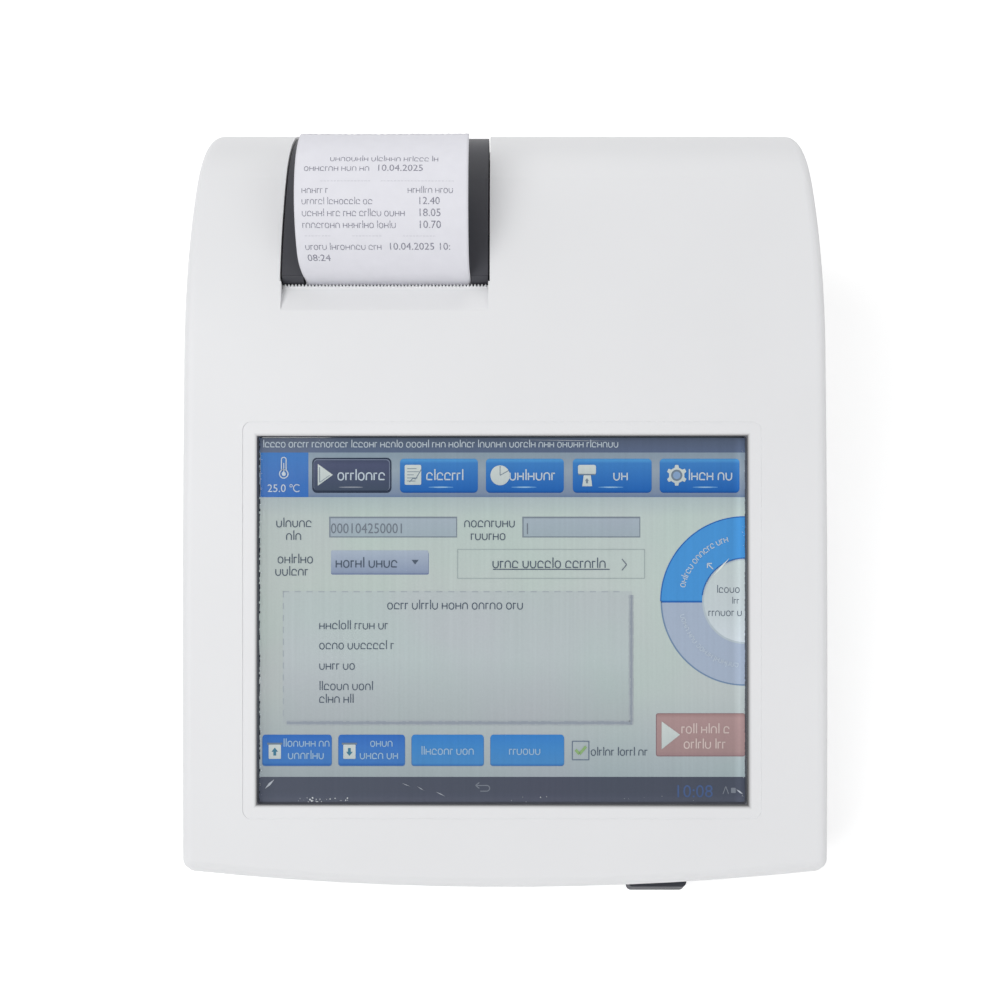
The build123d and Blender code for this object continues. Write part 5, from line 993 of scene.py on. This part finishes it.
def edge_shade():
    """The casing's plastic with painted shade, darker towards the window."""
    finish = Finish("window_edge_white", Roughness=0.46, Specular_IOR_Level=0.4)
    stops = [(place, scaled(WHITE, share)) for place, share in EDGE_SHARES]
    finish.put("Base Color", finish.add("ShaderNodeValToRGB", {"stops": stops}, {0: finish.along(1)}))
    return finish.bump(finish.noise(2800.0, 3.0), 0.012).material


# Printer slot

TEAR_X = -74.42
TEAR_Y = (50.2, 51.0)
TEAR_Z = (130.82, 131.62)
TOOTH_PITCH = 1.16
TEETH = 59
NOTCH_LIFT = 0.03
NOTCH_BACK = 0.2
NOTCH_SHARE = 0.42

# The lip of the lid: where its two lengths start and end across, and its profile, back and up
LID_ENDS = [(-74.7, -67.55), (-11.3, -5.7)]
LID_LIP = [
    (52.75, 134.15), (52.2, 133.95), (51.75, 133.5), (51.45, 132.8), (51.35, 131.6), (51.35, 130.6),
    (52.75, 130.6),
]


def tear_bar_notches():
    """Painted shadow in the notches between the teeth of the tear bar."""
    x = TEAR_X + TOOTH_PITCH
    low, high = (z + NOTCH_LIFT for z in TEAR_Z)
    front, rear = (TEAR_Y[0] + NOTCH_BACK, TEAR_Y[1])
    reach = NOTCH_SHARE * TOOTH_PITCH
    points = [(x, front, low), (x + reach, rear, high), (x, rear, low), (x - reach, rear, high)]
    item = [Vector(point) * MM for point in points], [[0, 1, 2], [0, 2, 3]]
    shade = moulded("notch_shade", CHARCOAL, 0.6)
    repeat("tear_bar_notches", item, TEETH - 1, (TOOTH_PITCH * MM, 0, 0), shade, "case_plastic")


def lid_lips(finish):
    """The rounded front edge of the lid, on both sides of the paper."""
    count = len(LID_LIP)
    for name, ends in zip(("left", "right"), LID_ENDS):
        vertices = [Vector((x, y, z)) * MM for x in ends for y, z in LID_LIP]
        faces = [list(range(count)), list(range(2 * count - 1, count - 1, -1))] + band(count)
        tidy_normals(piece("lid_lip_" + name, vertices, faces, finish, "dark_plastic", "printer_lid"))


# Switch and ports

SWITCH = (72.0, 123.8, 25.0)
ROCKER_TILT = radians(-8.0)
ROCKER_MIDDLE_Y = 5.0
ROCKER_END = (7.25, 6.0)
MARK_LIFT = 0.04
MARK_PEN = 0.45

# The ports' contacts: where each row of them starts, the size of one (width, length and thickness),
# how many there are and how far apart
USB_X = (-66.3, -50.3)
USB_Y = 129.0
USB_Z = (17.52, 25.32)
USB_CONTACTS = ((1.1, 6.5, 0.1), 4, 2.5)
NETWORK = (-31.7, 127.0, 23.9)
NETWORK_CONTACTS = ((0.4, 7.0, 0.3), 8, 1.0)


def on_rocker(side, along, z):
    """A point of the rocker's face: side -1 or 1, along it from the middle, and up, in millimetres."""
    x = side * along
    y = ROCKER_MIDDLE_Y + (ROCKER_END[1] - ROCKER_MIDDLE_Y) * along / ROCKER_END[0] + MARK_LIFT
    turned_x = x * cos(ROCKER_TILT) - y * sin(ROCKER_TILT)
    turned_y = x * sin(ROCKER_TILT) + y * cos(ROCKER_TILT)
    return (Vector(SWITCH) + Vector((turned_x, turned_y, z))) * MM


def rocker_marks():
    """The line and the ring of an on and off switch."""
    white = moulded("mark_white", (0.78, 0.78, 0.78), 0.5, 0.3, 0.002)
    for name, side, points in (("on", 1, [(3.6, -1.6), (3.6, 1.6)]), ("off", -1, arc((3.6, 0), 1.4, 0, 360))):
        name = "rocker_mark_" + name
        mark = Drawing(name, white, lambda x, z: on_rocker(side, x, z), "rocker_plastic", "power_rocker")
        mark.stroke(points, MARK_PEN)
        mark.make()


def contacts(name, corner, size, count, pitch, finish):
    """A row of flat contacts: its left rear upper corner, and the width, length and thickness of one."""
    x, y, z = corner
    wide, long, thick = size
    top = [(x, y, z), (x + wide, y, z), (x + wide, y - long, z), (x, y - long, z)]
    low = [(cx, cy, cz - thick) for cx, cy, cz in top]
    faces = [[0, 3, 2, 1], [4, 5, 6, 7], [0, 1, 5, 4], [1, 2, 6, 5], [2, 3, 7, 6], [3, 0, 4, 7]]
    item = [Vector(point) * MM for point in top + low], faces
    repeat(name, item, count, (pitch * MM, 0, 0), finish, "steel")


def port_contacts():
    """Gilt contacts on the tongues of the ports and in the network port."""
    gilt = metal("gilt_contacts", (0.80, 0.60, 0.28), 0.25)
    for column, x in enumerate(USB_X):
        for row, z in enumerate(USB_Z):
            contacts("usb_contacts_%d_%d" % (column, row), (x, USB_Y, z), *USB_CONTACTS, gilt)
    contacts("network_contacts", NETWORK, *NETWORK_CONTACTS, gilt)


# Receipt

# The print lies a little above the strip. The strip is drawn in at its sides as it leaves the nip,
# and waves once it hangs free
PRINT_LIFT = 0.03
PAPER_COLUMNS = 57
PAPER_ROWS = 96
NARROW_FROM = 22.0
NARROW_TO = 10.0
NARROW_LEFT = 1.5
NARROW_RIGHT = 0.5
PAPER_WAVE = 0.12
PAPER_SINK = 0.16
WAVE_LONG = 7.0
WAVE_LEAN = 3.0
LOOSE_FROM = 14.0
LOOSE_OVER = 10.0

# The torn end: how much of the strip's length it and the even rows leave off, how far its points
# stand in and out by turns, and how much more by chance. No row is nearer the nip than the gap
TORN_SHORT = 0.9
WHOLE_SHORT = 1.5
TORN_POINTS = (-0.2, 0.5)
TORN_SPREAD = 0.35
NIP_GAP = 0.4


def path_point(distance):
    """The paper's middle line in the YZ plane, in millimetres from the nip."""
    straight = min(distance, CURL_START)
    y = NIP[0] + sin(PATH_LEAN) * straight + cos(PATH_LEAN) * PATH_OFFSET
    z = NIP[1] + cos(PATH_LEAN) * straight - sin(PATH_LEAN) * PATH_OFFSET
    if distance <= CURL_START:
        return (y, z)
    out_y, out_z = path_normal(distance)
    return (y + CURL_R * (cos(PATH_LEAN) + out_y), z + CURL_R * (out_z - sin(PATH_LEAN)))


def path_normal(distance):
    """Outwards from the curl."""
    turn = pi - PATH_LEAN - max(0.0, distance - CURL_START) / CURL_R
    return (cos(turn), sin(turn))


def pinch(distance):
    if distance >= NARROW_FROM:
        return 0.0
    if distance >= NARROW_TO:
        return ((NARROW_FROM - distance) / (NARROW_FROM - NARROW_TO)) ** 2
    return distance / NARROW_TO


def on_paper(x, distance, lift):
    """x from the paper's left edge, distance up from the nip."""
    y, z = path_point(distance)
    ny, nz = path_normal(distance)
    share = x / (2 * PAPER_HALF_W)
    shift = pinch(distance) * (NARROW_LEFT * (1 - share) + NARROW_RIGHT * share)
    loose = min(1.0, max(0.0, (distance - LOOSE_FROM) / LOOSE_OVER))
    lift += (PAPER_WAVE * sin(distance / WAVE_LONG + WAVE_LEAN * share) - PAPER_SINK) * loose
    return Vector((PRINTER_X - PAPER_HALF_W + x + shift, y + ny * lift, z + nz * lift)) * MM


def receipt_strip(finish):
    """The paper with its torn end, as a closed sheet."""
    length = CURL_START + CURL_R * CURL_SWEEP
    across = PAPER_COLUMNS
    rows = PAPER_ROWS
    chance = random.Random(5)
    torn = [chance.uniform(-TORN_SPREAD, TORN_SPREAD) + TORN_POINTS[column % 2] for column in range(across)]
    vertices = []
    for side in (PAPER_T / 2, -PAPER_T / 2):
        for row in range(rows):
            for column in range(across):
                reach = (length - WHOLE_SHORT) * row / (rows - 1)
                if row == rows - 1:
                    reach = length - TORN_SHORT + torn[column]
                vertices.append(on_paper(2 * PAPER_HALF_W * column / (across - 1), max(reach, NIP_GAP), side))
    faces = []
    back = across * rows
    for row in range(rows - 1):
        for a in range(row * across, row * across + across - 1):
            faces.append([a, a + 1, a + across + 1, a + across])
            faces.append([back + a, back + a + across, back + a + across + 1, back + a + 1])
    last = back - across
    ring = [*range(across), *range(2 * across - 1, back, across)]
    ring += [*range(back - 2, last - 1, -1), *range(last - across, 0, -across)]
    for a, b in zip(ring, ring[1:] + ring[:1]):
        faces.append([a, back + a, back + b, b])
    strip = piece("receipt", vertices, faces, finish, "paper", "printer_lid", smooth=True)
    tidy_normals(strip)
    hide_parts("paper_strip")


def tidy_normals(shape):
    mesh = bmesh.new()
    mesh.from_mesh(shape.data)
    bmesh.ops.recalc_face_normals(mesh, faces=mesh.faces)
    mesh.to_mesh(shape.data)
    mesh.free()


# Each row of print: its height from and to, and its items from and to across the paper
RECEIPT_ROWS = [
    ((52.9, 55.3), [(11.5, 47.0)]),
    ((49.1, 51.5), [(3.2, 25.5), (26.5, 44.5, "10.04.2025")]),
    ((41.5, 43.8), [(2.6, 12.0), (37.0, 51.8)]),
    ((37.9, 40.2), [(2.6, 26.5), (40.0, 49.5, "12.40")]),
    ((34.1, 36.5), [(2.6, 37.0), (40.0, 49.5, "18.05")]),
    ((30.3, 32.7), [(2.6, 33.0), (40.0, 49.5, "10.70")]),
    ((23.0, 25.4), [(3.0, 29.0), (30.0, 52.5, "10.04.2025 10:")]),
    ((18.9, 21.3), [(3.2, 11.5, "08:24")]),
]
RULES = [(45.5, [(8.5, 24.0), (28.0, 52.0)]), (27.7, [(3.0, 11.0), (18.5, 28.0), (35.0, 46.0)])]
RULE_HALF_T = 0.05
RULE_DASH = 0.8
RULE_PITCH = 1.1


def print_drawing(name, ink):
    return Drawing(name, ink, lambda x, y: on_paper(x, -y, PAPER_T / 2 + PRINT_LIFT), "paper", "printer_lid")


def receipt_print():
    lines = print_drawing("receipt_print", thermal_ink("thermal_print", (0.20, 0.20, 0.26)))
    for number, ((low, high), items) in enumerate(RECEIPT_ROWS):
        for left, right, *figures in items:
            if figures:
                digits(lines, figures[0], (left, right), (-high, -low))
            else:
                scribble(lines, (left, right), (-high, -low), 200 + 7 * number + int(left), pen=FINE_PEN)
    lines.make()
    rules = print_drawing("receipt_rules", thermal_ink("faint_print", (0.42, 0.42, 0.48)))
    for high, parts in RULES:
        for at, right in parts:
            while at < right:
                rules.box((at, at + RULE_DASH), (-high - RULE_HALF_T, -high + RULE_HALF_T))
                at += RULE_PITCH
    rules.make()


# Stage

# What the white floor adds to its own light where the camera sees it, near the object, and from
# where to where this grows to 1, in metres
FLOOR_HALF = 20.0
FLOOR_LIFT = 0.32
FLOOR_NEAR = 0.5
FLOOR_FAR = 1.6

# The world's light, and each lamp's name, place and size in metres and power in watts
WORLD_LIGHT = 0.46
LAMP_AIM = (0, 0, 0.08)
LAMPS = [
    ("key", (-0.9, -0.5, 1.5), 1.0, 14.0),
    ("fill", (1.1, -0.9, 1.1), 1.2, 5.0),
    ("back", (0.1, 1.3, 1.0), 1.0, 4.2),
]

CAMERA_PLACE = (-1.66, -191.8, 463.6)
CAMERA_TILT = radians(26.0)
CAMERA_ANGLE = 2 * atan(0.4155)
CAMERA_CLIP = 0.01


def stage_finish():
    """White in the camera and in reflections, with the object's shadow kept."""
    finish = Finish("studio_floor", Roughness=0.9, Specular_IOR_Level=0.1, Emission_Strength=1.0)
    finish.put("Base Color", finish.mix(finish.noise(3.0), (0.93, 0.93, 0.93), (0.95, 0.95, 0.95)))
    seen = finish.ray("Camera") + finish.ray("Glossy")
    reach = finish.add("ShaderNodeVectorMath", {"operation": "LENGTH"}, {0: finish.place()}, output=1)
    lift = finish.mix(finish.rise(reach, FLOOR_NEAR, FLOOR_FAR), (FLOOR_LIFT,) * 3, (1, 1, 1))
    return finish.put("Emission Color", finish.mix(seen, (0, 0, 0), lift)).material


def stage():
    """A white floor in a white studio."""
    side = (-FLOOR_HALF, FLOOR_HALF)
    mesh = bpy.data.meshes.new("floor")
    mesh.from_pydata([(x, y, 0) for x, y in rounded(side, side, 0)], [], [[0, 1, 2, 3]])
    mesh.materials.append(stage_finish())
    add_object("floor", mesh)
    world = bpy.data.worlds.new("studio")
    bpy.context.scene.world = world
    world.use_nodes = True
    studio = Nodes(world.node_tree)
    rays = {0: studio.ray("Camera"), 1: studio.ray("Transmission")}
    seen = studio.add("ShaderNodeMath", {"operation": "MAXIMUM"}, rays)
    sky = studio.nodes["Background"]
    studio.feed(sky.inputs["Color"], (1, 1, 1))
    studio.feed(sky.inputs["Strength"], studio.add("ShaderNodeMix", None, {0: seen, 2: WORLD_LIGHT, 3: 1.0}))


def lights():
    for name, place, size, power in LAMPS:
        light = bpy.data.lights.new(name, "AREA")
        light.shape = "SQUARE"
        light.size = size
        light.energy = power
        lamp = add_object(name, light)
        lamp.location = place
        lamp.rotation_euler = (Vector(LAMP_AIM) - Vector(place)).to_track_quat("-Z", "Y").to_euler()


def camera():
    data = bpy.data.cameras.new("camera")
    data.angle = CAMERA_ANGLE
    data.clip_start = CAMERA_CLIP
    shape = add_object("camera", data)
    shape.location = [value * MM for value in CAMERA_PLACE]
    shape.rotation_euler = (CAMERA_TILT, 0, 0)
    bpy.context.scene.camera = shape


def main():
    finishes = node_finishes()
    dress_nodes(finishes)
    display_background()
    display_buttons()
    display_low_buttons()
    display_ring()
    display_frames()
    group_dashes()
    group_shadow()
    display_pale_marks()
    display_icons()
    display_dark_marks()
    display_base_marks()
    film_flecks()
    for drawing in SHEETS:
        drawing.make()
    window_edge()
    tear_bar_notches()
    lid_lips(finishes["dark_plastic"])
    rocker_marks()
    port_contacts()
    receipt_strip(finishes["paper"])
    receipt_print()
    stage()
    lights()
    camera()
    bpy.context.scene.view_settings.view_transform = "Standard"


main()
